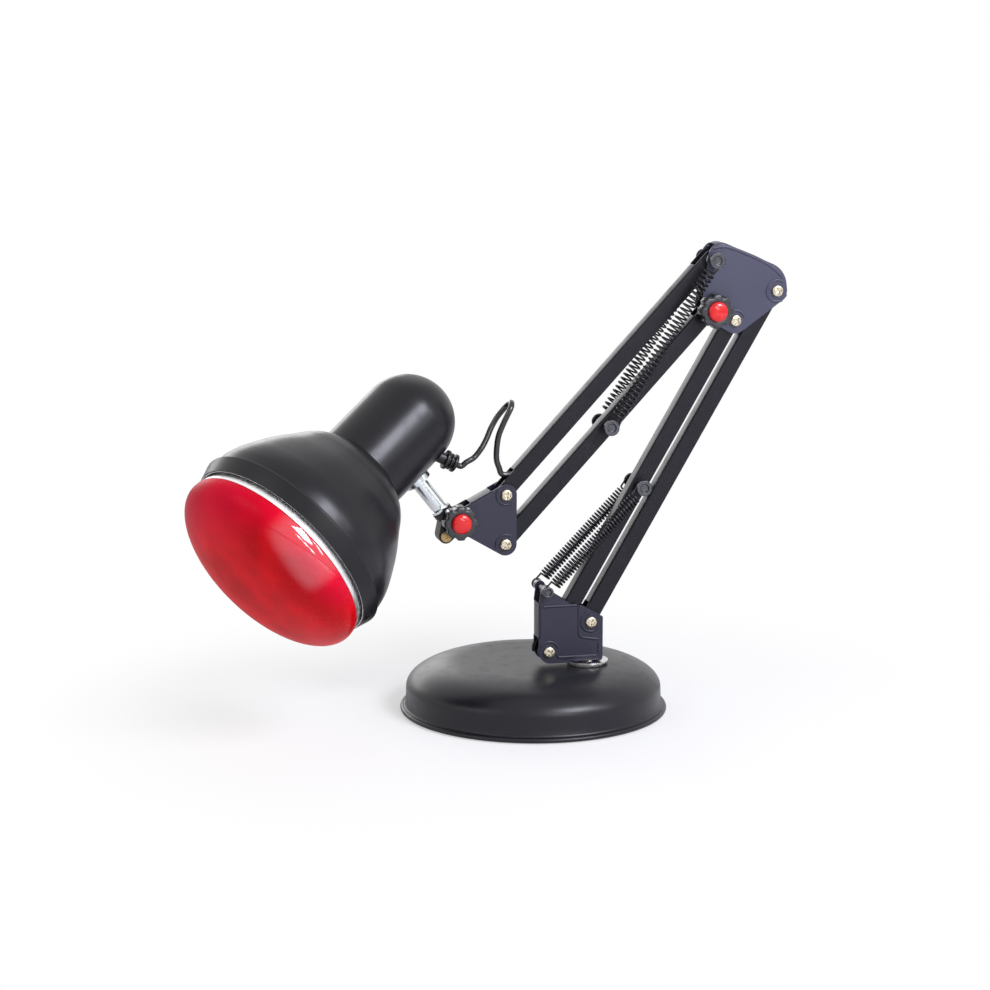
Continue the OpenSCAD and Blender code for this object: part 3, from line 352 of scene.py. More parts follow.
class Look(Enum):
    """The lamp's finishes."""

    COVER = Enamel("cover_enamel", "cover_paint", (0.0045, 0.0045, 0.0075), rough=0.36, specular=0.34)
    SHADE = Enamel("shade_enamel", "shade_paint", (0.0045, 0.0045, 0.0065), rough=0.32, peel=0.012,
                   specular=0.3, liner=(0.86, 0.86, 0.86))
    PLATE = Enamel("plate_enamel", "plate_paint", (0.02, 0.02, 0.035), peel=0.03, specular=0.3)
    # A lighter, bluer copy of the plate paint, used on the elbow: painted light standing in for the sheen the
    # elbow plate catches. The real paint is the same as on the other plates.
    PLATE_PAINTED_LIT = Enamel("plate_enamel_painted_lit", "plate_paint", (0.045, 0.045, 0.076), peel=0.03, specular=0.3)
    BAR = Enamel("bar_enamel", "bar_paint", (0.0055, 0.0055, 0.009), rough=0.36, specular=0.22)
    CAST = Enamel("cast_skin", "cast_weight", (0.1, 0.1, 0.1), rough=0.6, peel=0.08)
    ZINC = Metal("zinc_plate", "zinc", (0.62, 0.56, 0.44), rough=0.24, stain=(0.45, 0.33, 0.2), stained=0.5)
    STUD = Metal("dark_plate", "zinc", (0.09, 0.09, 0.1), rough=0.26, stain=(0.05, 0.05, 0.055), stained=0.6)
    WASHER = Metal("bright_plate", "bright_washer", (0.62, 0.61, 0.6), rough=0.2)
    SPRING = Metal("spring_wire", "spring_steel", (0.045, 0.045, 0.05), rough=0.34,
                   stain=(0.03, 0.03, 0.033))
    CHROME = Metal("chrome_plate", "chrome", (0.6, 0.64, 0.66), rough=0.16, lines=(1.0, 1.0, 0.2),
                   scratch=0.001, stain=(0.7, 0.74, 0.76))
    BRONZE = Metal("knuckle_metal", "bronze", (0.045, 0.042, 0.038), rough=0.42, scratch=0.03,
                   stain=(0.02, 0.02, 0.02))
    BRASS = Metal("brass_rivet", "brass", (0.34, 0.23, 0.1), rough=0.3, stain=(0.08, 0.055, 0.03),
                  stained=0.9)
    SILVER = Metal("bulb_silvering", "bulb_silver", (0.95, 0.95, 0.95), rough=0.3,
                   stain=(0.86, 0.86, 0.87), stained=0.1)
    MOUNT = Metal("filament_metal", "filament_mount", (0.5, 0.5, 0.5), rough=0.3)
    NYLON = Moulded("nylon_body", "nylon", (0.72, 0.71, 0.66), rough=0.4)
    PORCELAIN = Moulded("porcelain_glaze", "porcelain", (0.78, 0.76, 0.7), rough=0.2, grain_size=4.0,
                        coat=0.5)
    GLAND = Moulded("gland_rubber", "gland_plastic", (0.01, 0.01, 0.011), grain=0.02)
    KNOB = Moulded("knob_plastic", "knob_plastic", (0.004, 0.004, 0.005), rough=0.2, grain=0.006, coat=0.2)
    RED = Moulded("cap_red", "knob_red", (0.54, 0.006, 0.008), rough=0.22, grain=0.004, grain_size=1.2,
                  coat=0.4)
    CORD = Moulded("cord_sheath", "lead_skin", (0.009, 0.009, 0.01), rough=0.16, grain=0.004,
                   grain_size=1.6, coat=0.6)
    PAD = Moulded("pad_rubber", "base_pad", (0.03, 0.03, 0.031), rough=0.7, grain=0.06)
    GLASS = RedGlass("ruby_glass", "red_glass")


# ------------------------------------------------------------- plane geometry


def polar(radius: float | Array, angle: float | Array) -> Array:
    """Points at radius and angle in degrees round the origin."""
    a = np.radians(angle)
    return np.stack(np.broadcast_arrays(radius * np.cos(a), radius * np.sin(a)), axis=-1)


def arc(centre: Sequence[float], radius: float, start: float, stop: float, steps: int = 24) -> Array:
    """Points on a circle from one angle to another.

    Args:
        centre: the circle's centre.
        radius: its radius.
        start: first angle in degrees.
        stop: last angle in degrees.
        steps: spans between them.

    Returns:
        The points, both ends among them.
    """
    return np.asarray(centre, float) + polar(radius, np.linspace(start, stop, steps + 1))


def spread(p: Array, y: float | Array) -> Array:
    """Points (x, z) of the arm's plane, moved y millimetres towards the back."""
    return np.stack(np.broadcast_arrays(p[..., 0], ARM_Y + y, p[..., 1]), axis=-1)


@dataclass(frozen=True)
class Disc:
    """A circle in the arm's plane that a plate's outline runs round."""

    x: float
    z: float
    r: float

    @property
    def centre(self) -> Array:
        """Its centre."""
        return np.array([self.x, self.z])


def tangent(p: Disc, q: Disc) -> float:
    """Angle of the outward normal of the line that touches two circles on the
    right-hand side of the way from p to q: the way's own angle less the arc
    cosine of the difference of radii over the distance.

    Args:
        p: first circle.
        q: second circle.

    Returns:
        The angle in degrees.
    """
    way = q.centre - p.centre
    turned_by = np.arccos((p.r - q.r) / np.linalg.norm(way))
    return float(np.degrees(np.arctan2(way[1], way[0]) - turned_by))


def run(discs: Sequence[Disc], start: float, stop: float) -> Array:
    """Outline round a row of circles.

    Args:
        discs: the circles, anticlockwise.
        start: angle at which it starts on the first circle.
        stop: angle at which it ends on the last circle.

    Returns:
        The outline's points.
    """
    parts = []
    last = len(discs) - 1
    for i, d in enumerate(discs):
        a = start if i == 0 else tangent(discs[i - 1], d)
        b = stop if i == last else tangent(d, discs[i + 1])
        parts.append(arc(d.centre, d.r, a, a + (b - a) % 360.0, CORNER_STEPS))
    return np.concatenate(parts)


def spline(points: Array, steps: int) -> Array:
    """Smooth curve through points: on each span the usual cubic that passes
    through both ends with slopes of half the step between their neighbours.

    Args:
        points: a row for each point.
        steps: steps from one point to the next.

    Returns:
        The curve's points.
    """
    p = np.concatenate([points[:1], points, points[-1:]])
    t = (np.arange(steps) / steps)[None, :, None]
    a, b, c, d = (p[i:len(p) - 3 + i, None, :] for i in range(4))
    curve = 0.5 * (2 * b + (c - a) * t + (2 * a - 5 * b + 4 * c - d) * t ** 2
                   + (3 * b - a - 3 * c + d) * t ** 3)
    return np.concatenate([curve.reshape(-1, points.shape[1]), points[-1:]])


def turn(axis: str, degrees: float) -> Array:
    """Rotation about one axis by the right-hand rule.

    Args:
        axis: x, y or z.
        degrees: how far it turns.

    Returns:
        The matrix.
    """
    c = np.cos(radians(degrees))
    s = np.sin(radians(degrees))
    rows = {"x": [[1, 0, 0], [0, c, -s], [0, s, c]],
            "y": [[c, 0, s], [0, 1, 0], [-s, 0, c]],
            "z": [[c, -s, 0], [s, c, 0], [0, 0, 1]]}
    return np.array(rows[axis], float)


@dataclass(frozen=True)
class Place:
    """Where a turned shape stands: its foot, its axis and a side way."""

    foot: Array
    way: Array
    side: Array

    def lift(self, radius: Array, height: Array, angle: Array) -> Array:
        """Points round the axis: foot, plus height along the axis, plus radius
        turned by angle from the side way.

        Args:
            radius: distances from the axis.
            height: distances along it from the foot.
            angle: turns from the side way, in radians.

        Returns:
            The points, in the shape that the three have together.
        """
        third = np.cross(self.way, self.side)
        return (self.foot + height[..., None] * self.way
                + (radius * np.cos(angle))[..., None] * self.side
                + (radius * np.sin(angle))[..., None] * third)


# ---------------------------------------------------------------- mesh making


@dataclass
class Surface:
    """A closed surface: points in millimetres, and the faces' corners."""

    verts: Array
    faces: list[list[int]]


def finish_mesh(name: str, verts: Array, faces: list[list[int]],
                sharp: float = 38.0) -> bpy.types.Object:
    """Writes a mesh in metres, merges its doubles and turns its faces out.

    Args:
        name: the object's name.
        verts: points in millimetres.
        faces: corner numbers of each face.
        sharp: edges that bend more than this, in degrees, stay sharp.

    Returns:
        The new object, at the origin.
    """
    mesh = bpy.data.meshes.new(name)
    mesh.from_pydata((np.asarray(verts) * MM).tolist(), [], faces)
    work = bmesh.new()
    work.from_mesh(mesh)
    bmesh.ops.remove_doubles(work, verts=work.verts, dist=2e-6)
    bmesh.ops.recalc_face_normals(work, faces=work.faces)
    work.to_mesh(mesh)
    work.free()
    mesh.polygons.foreach_set("use_smooth", np.ones(len(mesh.polygons), bool))
    mesh.set_sharp_from_angle(angle=radians(sharp))
    made = bpy.data.objects.new(name, mesh)
    bpy.context.scene.collection.objects.link(made)
    return made


def grid_faces(rows: int, columns: int, wrap_rows: bool, wrap_columns: bool,
               first: int = 0) -> list[list[int]]:
    """Four-cornered faces of a grid of points, numbered row by row.

    Args:
        rows: number of rows.
        columns: number of points in a row.
        wrap_rows: the last row joins the first.
        wrap_columns: each row's end joins its start.
        first: number of the grid's first point.

    Returns:
        The faces.
    """
    i = np.arange(rows if wrap_rows else rows - 1)[:, None]
    j = np.arange(columns if wrap_columns else columns - 1)[None, :]
    i2 = (i + 1) % rows
    j2 = (j + 1) % columns
    corners = [i * columns + j, i * columns + j2, i2 * columns + j2, i2 * columns + j]
    return (np.stack(np.broadcast_arrays(*corners), axis=-1).reshape(-1, 4) + first).tolist()


def join(name: str, surfaces: Sequence[Surface], sharp: float = 38.0) -> bpy.types.Object:
    """Makes one object of several surfaces.

    Args:
        name: the object's name.
        surfaces: the closed surfaces.
        sharp: edges that bend more than this, in degrees, stay sharp.

    Returns:
        The object.
    """
    first = np.cumsum([0] + [len(one.verts) for one in surfaces])
    faces = [[c + start for c in face] for one, start in zip(surfaces, first.tolist()) for face in one.faces]
    return finish_mesh(name, np.concatenate([one.verts for one in surfaces]), faces, sharp)


def wrapped(place: Place, rings: Sequence[Sequence[float | Array]], angle: Array) -> Surface:
    """A surface of rings round an axis, whose last ring joins its first.

    Args:
        place: where the axis stands.
        rings: the radius and height of each ring, either of them one number
            or one for each angle.
        angle: the turns of a ring's points, in radians.

    Returns:
        The surface.
    """
    radius, height = (np.array([np.broadcast_to(ring[k], angle.shape) for ring in rings], float)
                      for k in (0, 1))
    grid = place.lift(radius, height, angle)
    return Surface(grid.reshape(-1, 3), grid_faces(*radius.shape, True, True))


def lathe(place: Place, profile: Sequence[Sequence[float]], steps: int = 96) -> Surface:
    """The closed profile of (radius, height) points carried round an axis."""
    return wrapped(place, profile, np.linspace(0, 2 * np.pi, steps, endpoint=False))


def turned(name: str, place: Place, profile: Sequence[Sequence[float]], steps: int = 96,
           sharp: float = 38.0) -> bpy.types.Object:
    """Makes an object of one lathe shape.

    Args:
        name: the object's name.
        place: where its axis stands.
        profile: the closed profile's (radius, height) points.
        steps: points in a ring.
        sharp: edges that bend more than this, in degrees, stay sharp.

    Returns:
        The object.
    """
    return join(name, [lathe(place, profile, steps)], sharp)


def tube_points(path: Array, radius: float, sides: int) -> Array:
    """Rings round a path, each carried on from the last without twist: the
    ring's first way is the last one's, less its part along the path.

    Args:
        path: the middle line's points.
        radius: the rings' radius.
        sides: points in a ring.

    Returns:
        The points, a row for each ring.
    """
    step = np.gradient(path, axis=0)
    way = step / np.linalg.norm(step, axis=1, keepdims=True)
    first = np.cross(way[0], [0.0, 1.0, 0.0] if abs(way[0][1]) < 0.8 else [1.0, 0.0, 0.0])
    ways = []
    for w in way:
        first = first - (first @ w) * w
        first = first / np.linalg.norm(first)
        ways.append(first)
    one = np.array(ways)
    two = np.cross(way, one)
    angle = np.linspace(0, 2 * np.pi, sides, endpoint=False)[None, :, None]
    return path[:, None, :] + radius * (np.cos(angle) * one[:, None, :] + np.sin(angle) * two[:, None, :])


def skinned(rings: Array) -> Surface:
    """The surface through a row of rings, with flat ends."""
    count, sides = rings.shape[:2]
    ends = [list(range(sides)), list(range((count - 1) * sides, count * sides))]
    return Surface(rings.reshape(-1, 3), grid_faces(count, sides, False, True) + ends)


def tube(name: str, paths: Sequence[Array], radius: float, sides: int) -> bpy.types.Object:
    """Makes one object of tubes with flat ends.

    Args:
        name: the object's name.
        paths: the tubes' middle lines.
        radius: the tubes' radius.
        sides: points round a tube.

    Returns:
        The object.
    """
    return join(name, [skinned(tube_points(path, radius, sides)) for path in paths], 50.0)


def soften(piece: bpy.types.Object, width: float, angle: float = 40.0, segments: int = 2) -> bpy.types.Object:
    """Rounds a piece's hard edges.

    Args:
        piece: the piece.
        width: width of the rounding in millimetres.
        angle: edges that bend more than this, in degrees, are rounded.
        segments: faces across the rounding.

    Returns:
        The piece.
    """
    marks = piece.data.attributes.get("sharp_edge")
    if marks is not None:
        piece.data.attributes.remove(marks)
    made = piece.modifiers.new("rounding", "BEVEL")
    made.width = width * MM
    made.segments = segments
    made.limit_method = "ANGLE"
    made.angle_limit = radians(angle)
    made.use_clamp_overlap = True
    made.harden_normals = True
    return piece


@dataclass(frozen=True)
class Fold:
    """A folded edge of a sheet part: points first to last of its outline."""

    first: int
    last: int


@dataclass
class Sheet:
    """Two side plates of one outline, in the arm's plane, joined by webs.

    The plates stand half in front of and half behind the plane. Along a fold
    their edge moves in by the bend radius, and a web closes the space.
    """

    outline: Array
    folds: Sequence[Fold]
    half: float
    thick: float
    bend: float
    bend_steps: int = 6
    edge_width: float = 0.42

    def inward(self) -> dict[int, Array]:
        """The way square to the outline, inwards, at each folded point."""
        ways = {}
        for fold in self.folds:
            step = np.gradient(self.outline[fold.first:fold.last + 1], axis=0)
            step /= np.linalg.norm(step, axis=1, keepdims=True)
            square = np.stack([-step[:, 1], step[:, 0]], axis=1)
            ways.update(zip(range(fold.first, fold.last + 1), square))
        return ways

    def plates(self) -> Surface:
        """Both plates; their edge is left open along a fold."""
        ways = self.inward()
        firsts = {fold.first for fold in self.folds}
        lasts = {fold.last for fold in self.folds}
        corners: list[Array] = []
        open_edge: set[int] = set()
        for i, point in enumerate(self.outline):
            if i not in ways or i in firsts:
                corners.append(point)
            if i in ways:
                if i not in lasts:
                    open_edge.add(len(corners))
                corners.append(point + self.bend * ways[i])
            if i in lasts:
                corners.append(point)
        loop = np.array(corners)
        m = len(loop)
        depths = (-self.half, -self.half + self.thick, self.half - self.thick, self.half)
        faces = [[low + k, low + (k + 1) % m, low + m + (k + 1) % m, low + m + k]
                 for low in (0, 2 * m) for k in range(m) if k not in open_edge]
        faces += [list(range(k * m, (k + 1) * m)) for k in range(len(depths))]
        return Surface(np.concatenate([spread(loop, y) for y in depths]), faces)

    def web(self, fold: Fold) -> Surface:
        """The web along a fold: an outer and an inner strip, closed at the
        ends. Each goes round a quarter circle, straight across, and round a
        quarter circle again.

        Args:
            fold: which stretch of the outline it closes.

        Returns:
            The web.
        """
        ways = self.inward()
        span = self.outline[fold.first:fold.last + 1]
        inward = np.array([ways[i] for i in range(fold.first, fold.last + 1)])
        bent = np.radians(np.linspace(0, 90, self.bend_steps + 1))
        size = 2 * len(bent)
        count = len(span) * size
        verts: list[Array] = []
        faces: list[list[int]] = []
        for level in (0.0, self.thick):
            radius = self.bend - level
            reach = self.half - level - radius * (1 - np.cos(bent))
            y = np.concatenate([-reach, reach[::-1]])
            down = level + radius * (1 - np.sin(bent))
            depth = np.concatenate([down, down[::-1]])
            place = span[:, None, :] + depth[None, :, None] * inward[:, None, :]
            faces += grid_faces(len(span), size, False, False, count * len(verts))
            verts.append(spread(place, y).reshape(-1, 3))
        for end in (0, count - size):
            outer = list(range(end, end + size))
            faces.append(outer + [count + k for k in reversed(outer)])
        return Surface(np.concatenate(verts), faces)

    def make(self, name: str) -> bpy.types.Object:
        """Makes the sheet part as one object, its hard edges rounded."""
        return soften(join(name, [self.plates()] + [self.web(fold) for fold in self.folds]),
                      self.edge_width, 50.0, 3)


def beads(name: str, paths: Sequence[Array], half: float, radius: float,
          sink: float = 0.35) -> bpy.types.Object:
    """Pressed lines on both side plates: round beads along paths.

    Args:
        name: the object's name.
        paths: the lines' (x, z) points.
        half: distance of the plates' faces from the arm's plane.
        radius: the beads' radius.
        sink: how much of the radius their middles lie inside the faces.

    Returns:
        The object.
    """
    depth = half - radius * sink
    return tube(name, [spread(p, y) for y in (-depth, depth) for p in paths], radius, 10)


def across(p: Sequence[float], y: float = 0.0, front: bool = True) -> Place:
    """A lathe place whose axis crosses the arm.

    Args:
        p: where it crosses, as (x, z).
        y: distance of its foot from the arm's plane.
        front: it faces the front, or else the back.

    Returns:
        The place.
    """
    sign = -1.0 if front else 1.0
    foot = spread(np.asarray(p, float), sign * y)
    return Place(foot, np.array([0.0, sign, 0.0]), np.array([1.0, 0.0, 0.0]))


def rounded(profile: Sequence[Sequence[float]], radii: Sequence[float], steps: int = 5) -> Array:
    """A profile with its corners rounded.

    Each corner is replaced by a curve that starts and ends radius away from it
    along its two sides and bends towards it (a quadratic curve).

    Args:
        profile: corners, as (radius, height).
        radii: how far the curve starts from each corner, 0 for none.
        steps: spans in a curve.

    Returns:
        The profile's points.
    """
    p = np.asarray(profile, float)
    out: list[Array] = []
    for k, r in enumerate(radii):
        if r <= 0:
            out.append(p[k][None, :])
            continue
        before, after = p[k - 1] - p[k], p[(k + 1) % len(p)] - p[k]
        a = p[k] + before / np.linalg.norm(before) * r
        b = p[k] + after / np.linalg.norm(after) * r
        t = np.linspace(0, 1, steps + 1)[:, None]
        out.append((1 - t) ** 2 * a + 2 * t * (1 - t) * p[k] + t ** 2 * b)
    return np.concatenate(out)


# --------------------------------------------------------------- arm geometry


@dataclass(frozen=True)
class Arm:
    """Layout of the swing arm in its plane, in millimetres."""

    floor: float = 33.5
    lower_len: float = 233.0
    lower_slope: float = 59.8
    upper_len: float = 190.5
    upper_slope: float = 227.0

    @property
    def a(self) -> Array:
        """Front pivot on the base bracket."""
        return np.array([30.7, self.floor + 25.0])

    @property
    def b(self) -> Array:
        """Rear pivot on the base bracket."""
        return self.a - [26.6, 17.5]

    @property
    def c(self) -> Array:
        """Front bar's pivot on the elbow."""
        return self.a + self.lower_len * polar(1.0, self.lower_slope)

    @property
    def d(self) -> Array:
        """Rear bar's pivot on the elbow."""
        return self.b + self.lower_len * polar(1.0, self.lower_slope)

    @property
    def e(self) -> Array:
        """Top bar's pivot on the elbow."""
        return self.c + [-40.85, 19.95]

    @property
    def f(self) -> Array:
        """Bottom bar's pivot on the elbow."""
        return self.e - [0.5, 30.5]

    @property
    def g(self) -> Array:
        """Top bar's pivot on the head bracket."""
        return self.e + self.upper_len * polar(1.0, self.upper_slope)

    @property
    def h(self) -> Array:
        """Bottom bar's pivot on the head bracket."""
        return self.f + self.upper_len * polar(1.0, self.upper_slope)

    @property
    def k(self) -> Array:
        """Tilt axis of the head."""
        return self.g - [30.25, 14.45]

    @property
    def anchor(self) -> Array:
        """Pin that holds the lower springs."""
        return self.b + [-2.3, 39.0]

    @staticmethod
    def along(p: Array, slope: float, u: float, v: float) -> Array:
        """A point u along a bar from p and v across it, to its left."""
        return p + u * polar(1.0, slope) + v * polar(1.0, slope + 90.0)

    @property
    def lower_post(self) -> Array:
        """Stud on the lower rear bar."""
        return self.along(self.b, self.lower_slope, self.lower_len / 2, 0.5)

    @property
    def upper_post(self) -> Array:
        """Stud on the upper bottom bar."""
        return self.along(self.f, self.upper_slope, self.upper_len / 2, -0.5)


ARM = Arm()


# ------------------------------------------------------------------ assembling


class Assembly:
    """A sub-assembly: knows how to dress, place and report its pieces."""

    frame: dict[str, Any] = {}

    def add(self, piece: bpy.types.Object, look: Look, body: str, *nodes: str) -> bpy.types.Object:
        """Dresses a new piece, lets it ride on a body and hides its nodes.

        Args:
            piece: the new piece.
            look: its finish.
            body: the body that it rides on.
            nodes: the CAD nodes that it stands for.

        Returns:
            The piece.
        """
        self.paint(piece, look)
        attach(piece, body)
        if nodes:
            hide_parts(*nodes)
        return piece

    @staticmethod
    def paint(piece: bpy.types.Object, look: Look) -> bpy.types.Object:
        """Gives a piece its one finish and logs it."""
        piece.data.materials.clear()
        piece.data.materials.append(look.value.material())
        LOG.info("%s: %s, %d faces", piece.name, look.value.name, len(piece.data.polygons))
        return piece

    def keep(self, look: Look, *nodes: str) -> None:
        """Keeps CAD nodes as they are, with a finish."""
        for name in nodes:
            for held in self.frame["nodes"][name].material_slots:
                held.material = look.value.material()
            LOG.info("%s: kept, %s", name, look.value.name)

    def edged(self, look: Look, body: str, node: str, width: float) -> bpy.types.Object:
        """A copy of a CAD node with its hard edges rounded.

        Args:
            look: its finish.
            body: the body that it rides on.
            node: the CAD node.
            width: width of the rounding in millimetres.

        Returns:
            The new piece, which replaces the node.
        """
        source = self.frame["nodes"][node].data
        co = np.zeros(len(source.vertices) * 3)
        source.vertices.foreach_get("co", co)
        faces = [list(p.vertices) for p in source.polygons]
        piece = finish_mesh(node + "_edged", co.reshape(-1, 3) / MM, faces)
        return self.add(soften(piece, width, 32.0), look, body, node)


@dataclass(frozen=True)
class Screw:
    """Pan-headed cross-slot screw across the arm, with a nut at the back."""

    at: Array
    head_r: float = 3.6
    head_h: float = 2.2
    seat: float = 7.0
    slot_r: float = 2.2
    slot_half: float = 0.55
    slot_depth: float = 1.4
    slot_turn: float = 20.0
    nut_r: float = 3.9
    nut_h: float = 2.4
    shank_r: float = 2.0
    tip: float = 1.1

    def head(self) -> Surface:
        """Height is a low dome, less the slot where the smaller of the two
        distances from the cross's lines is under the slot's half width."""
        steps = np.linspace(0, self.slot_r + 0.3, 28)
        radius = np.concatenate([steps, [2.8, 3.1, 3.35, 3.5, self.head_r]])
        angle = np.linspace(0, 2 * np.pi, 144, endpoint=False)
        r = radius[:, None]
        x = np.abs(r * np.cos(angle + radians(self.slot_turn)))
        y = np.abs(r * np.sin(angle + radians(self.slot_turn)))
        soft = 0.12
        inside = (np.clip((self.slot_half + soft - np.minimum(x, y)) / (2 * soft), 0, 1)
                  * np.clip((self.slot_r + soft - np.maximum(x, y)) / (2 * soft), 0, 1))
        share = r / self.head_r
        dome = self.head_h * (1 - 0.2 * share ** 2 - 0.35 * share ** 12)
        height = dome - self.slot_depth * inside * (1 - 0.4 * share)
        rings = [*zip(radius, height), (self.head_r, 0.0), (0.0, 0.0)]
        return wrapped(across(self.at, self.seat), rings, angle)

    def nut(self) -> Surface:
        """Radius is a hexagon's: the flat's distance over the cosine of the
        angle from the flat's middle."""
        angle = np.linspace(0, 2 * np.pi, 96, endpoint=False)
        flat = self.nut_r * np.cos(np.pi / 6) / np.cos((angle + 0.2) % (np.pi / 3) - np.pi / 6)
        bevel = np.minimum(flat, self.nut_r * 0.93)
        end = self.nut_h + self.tip
        rings = [(0.0, 0.0), (flat, 0.0), (flat, self.nut_h - 0.35), (bevel, self.nut_h),
                 (self.shank_r, self.nut_h), (self.shank_r, end - 0.4), (self.shank_r - 0.4, end),
                 (0.0, end)]
        return wrapped(across(self.at, self.seat, False), rings, angle)

    def surfaces(self) -> list[Surface]:
        """Head, shank and nut."""
        profile = [[0, -0.2], [self.shank_r, -0.2], [self.shank_r, -2 * self.seat], [0, -2 * self.seat]]
        return [self.head(), lathe(across(self.at, self.seat), profile, 32), self.nut()]


@dataclass(frozen=True)
class Stud:
    """A grooved stud on each side of the arm, for a spring's hook, with a
    dished end."""

    at: Array
    seat: float
    neck_r: float = 3.4
    flange_r: float = 4.8
    groove_end: float = 13.5
    end: float = 14.4
    collar_r: float = 0.0
    collar_end: float = 0.0
    through_r: float = 1.8

    def surfaces(self) -> list[Surface]:
        """Both sides' turned studs and the rod between them."""
        rim = self.flange_r
        dish = self.flange_r * 0.5
        floor = self.end - 0.9
        foot = self.seat - 0.4
        profiles = [rounded([[0, foot], [self.neck_r, foot], [self.neck_r, self.groove_end],
                             [rim, self.groove_end], [rim, self.end], [dish + 0.4, self.end],
                             [dish, floor], [0, floor]],
                            [0, 0, 0.3, 0.2, 0.3, 0.2, 0.2, 0])]
        if self.collar_r > 0:
            inner = self.seat - 0.2
            profiles.append(rounded([[0, inner], [self.collar_r, inner], [self.collar_r, self.collar_end],
                                     [0, self.collar_end]], [0, 0, 0.3, 0]))
        made = [lathe(across(self.at, 0.0, front), one, 48) for front in (True, False) for one in profiles]
        rod = [[0, -self.seat], [self.through_r, -self.seat], [self.through_r, self.seat], [0, self.seat]]
        return made + [lathe(across(self.at, 0.0), rod, 32)]


@dataclass
class Base(Assembly):
    """Round weighted base with its cover, pad, inlet and inner lead."""

    rim: float = 83.0
    height: float = 31.0
    bead: float = 3.0
    lean: float = 2.2
    shoulder_w: float = 35.0
    shoulder_h: float = 16.0
    skin: float = 1.0
    wall: tuple[tuple[float, float], ...] = ((0.75, 1.75), (0.4, 2.7), (0.15, 6.5))

    def build(self) -> None:
        """Builds the cover with its rolled bead and dresses the rest."""
        foot = self.rim - self.bead / 2
        top = foot - self.lean
        level = 0.6 + self.bead / 2
        a = np.radians(np.linspace(0, 90, 40))
        shoulder = np.stack([top - self.shoulder_w + self.shoulder_w * np.cos(a),
                             self.height - self.shoulder_h + self.shoulder_h * np.sin(a)], axis=1)
        profile = np.concatenate([
            arc((foot, level), self.bead / 2, -160, 118, 30), np.array(self.wall) + [top, level],
            shoulder, [[0.0, self.height], [0.0, self.height - self.skin]], (shoulder - self.skin)[::-1],
            [[top - self.skin + 0.4, level + 2.0], [foot - 1.6, level + 0.4]]])
        place = Place(np.zeros(3), np.array([0.0, 0.0, 1.0]), np.array([1.0, 0.0, 0.0]))
        self.add(turned("base_shell", place, profile, 160, 60.0), Look.COVER, "base", "base_cover")
        self.keep(Look.CAST, "base_weight")
        self.keep(Look.PAD, "base_pad")
        self.keep(Look.NYLON, "swivel_bush", "terminal_block")
        self.keep(Look.CORD, "base_lead")
        self.edged(Look.GLAND, "base", "inlet_gland", 0.3)


@dataclass
class Springs(Assembly):
    """Close-wound tension springs with a hook at each end."""

    diameter: float = 8.0
    wire: float = 1.2
    curls: int = 35
    reach: float = 12.5
    hook: float = 4.2
    neck: float = 3.2

    def path(self, p: Array, q: Array, r0: float, y: float) -> Array:
        """The wire's centreline.

        In the spring's own frame (u along it, v across, w towards the back)
        each hook is an arc round its pin, and the coil is a circle carried
        along u, narrower at its ends.

        Args:
            p: pin of the first hook.
            q: pin of the second hook.
            r0: radius of the first hook.
            y: distance from the arm's middle.

        Returns:
            Points in the frame.
        """
        length = float(np.linalg.norm(q - p))
        coil_r = (self.diameter - self.wire) / 2
        start = r0 + self.neck
        stop = length - self.hook - self.neck
        bend = np.radians(np.linspace(-30, -268, 26))[:, None]
        first = np.concatenate([r0 * np.cos(bend), 0 * bend, r0 * np.sin(bend)], axis=1)
        last = np.concatenate([length - self.hook * np.cos(bend), 0 * bend, self.hook * np.sin(bend)], axis=1)
        t = np.linspace(0, 1, self.curls * 18 + 1)
        a = np.radians(90) + 2 * np.pi * self.curls * t
        shrink = coil_r * np.minimum(1.0, 0.82 + np.minimum(t, 1 - t) * self.curls * 0.3)
        coil = np.stack([start + (stop - start) * t, shrink * np.cos(a), shrink * np.sin(a)], axis=1)
        line = np.concatenate([first, coil, last[::-1]])
        way = (q - p) / length
        x = p[0] + line[:, 0] * way[0] - line[:, 2] * way[1]
        z = p[1] + line[:, 0] * way[1] + line[:, 2] * way[0]
        return spread(np.stack([x, z], axis=1), y - line[:, 1])

    def build(self) -> None:
        """Winds the four springs."""
        sets = (("lower", ARM.anchor, ARM.lower_post, 2.8, "swivel", "lower_rear"),
                ("upper", ARM.e, ARM.upper_post, self.hook, "elbow", "upper_bottom"))
        for pair, p, q, r0, start, stop in sets:
            for side, y in (("front", -self.reach), ("back", self.reach)):
                wire = tube(f"{pair}_coil_{side}", [self.path(p, q, r0, y)], self.wire / 2, 8)
                self.paint(wire, Look.SPRING)
                tuple(spread(p, y) * MM)
                tuple(spread(q, y) * MM)
                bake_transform(wire)
                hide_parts(f"{pair}_spring_{side}")


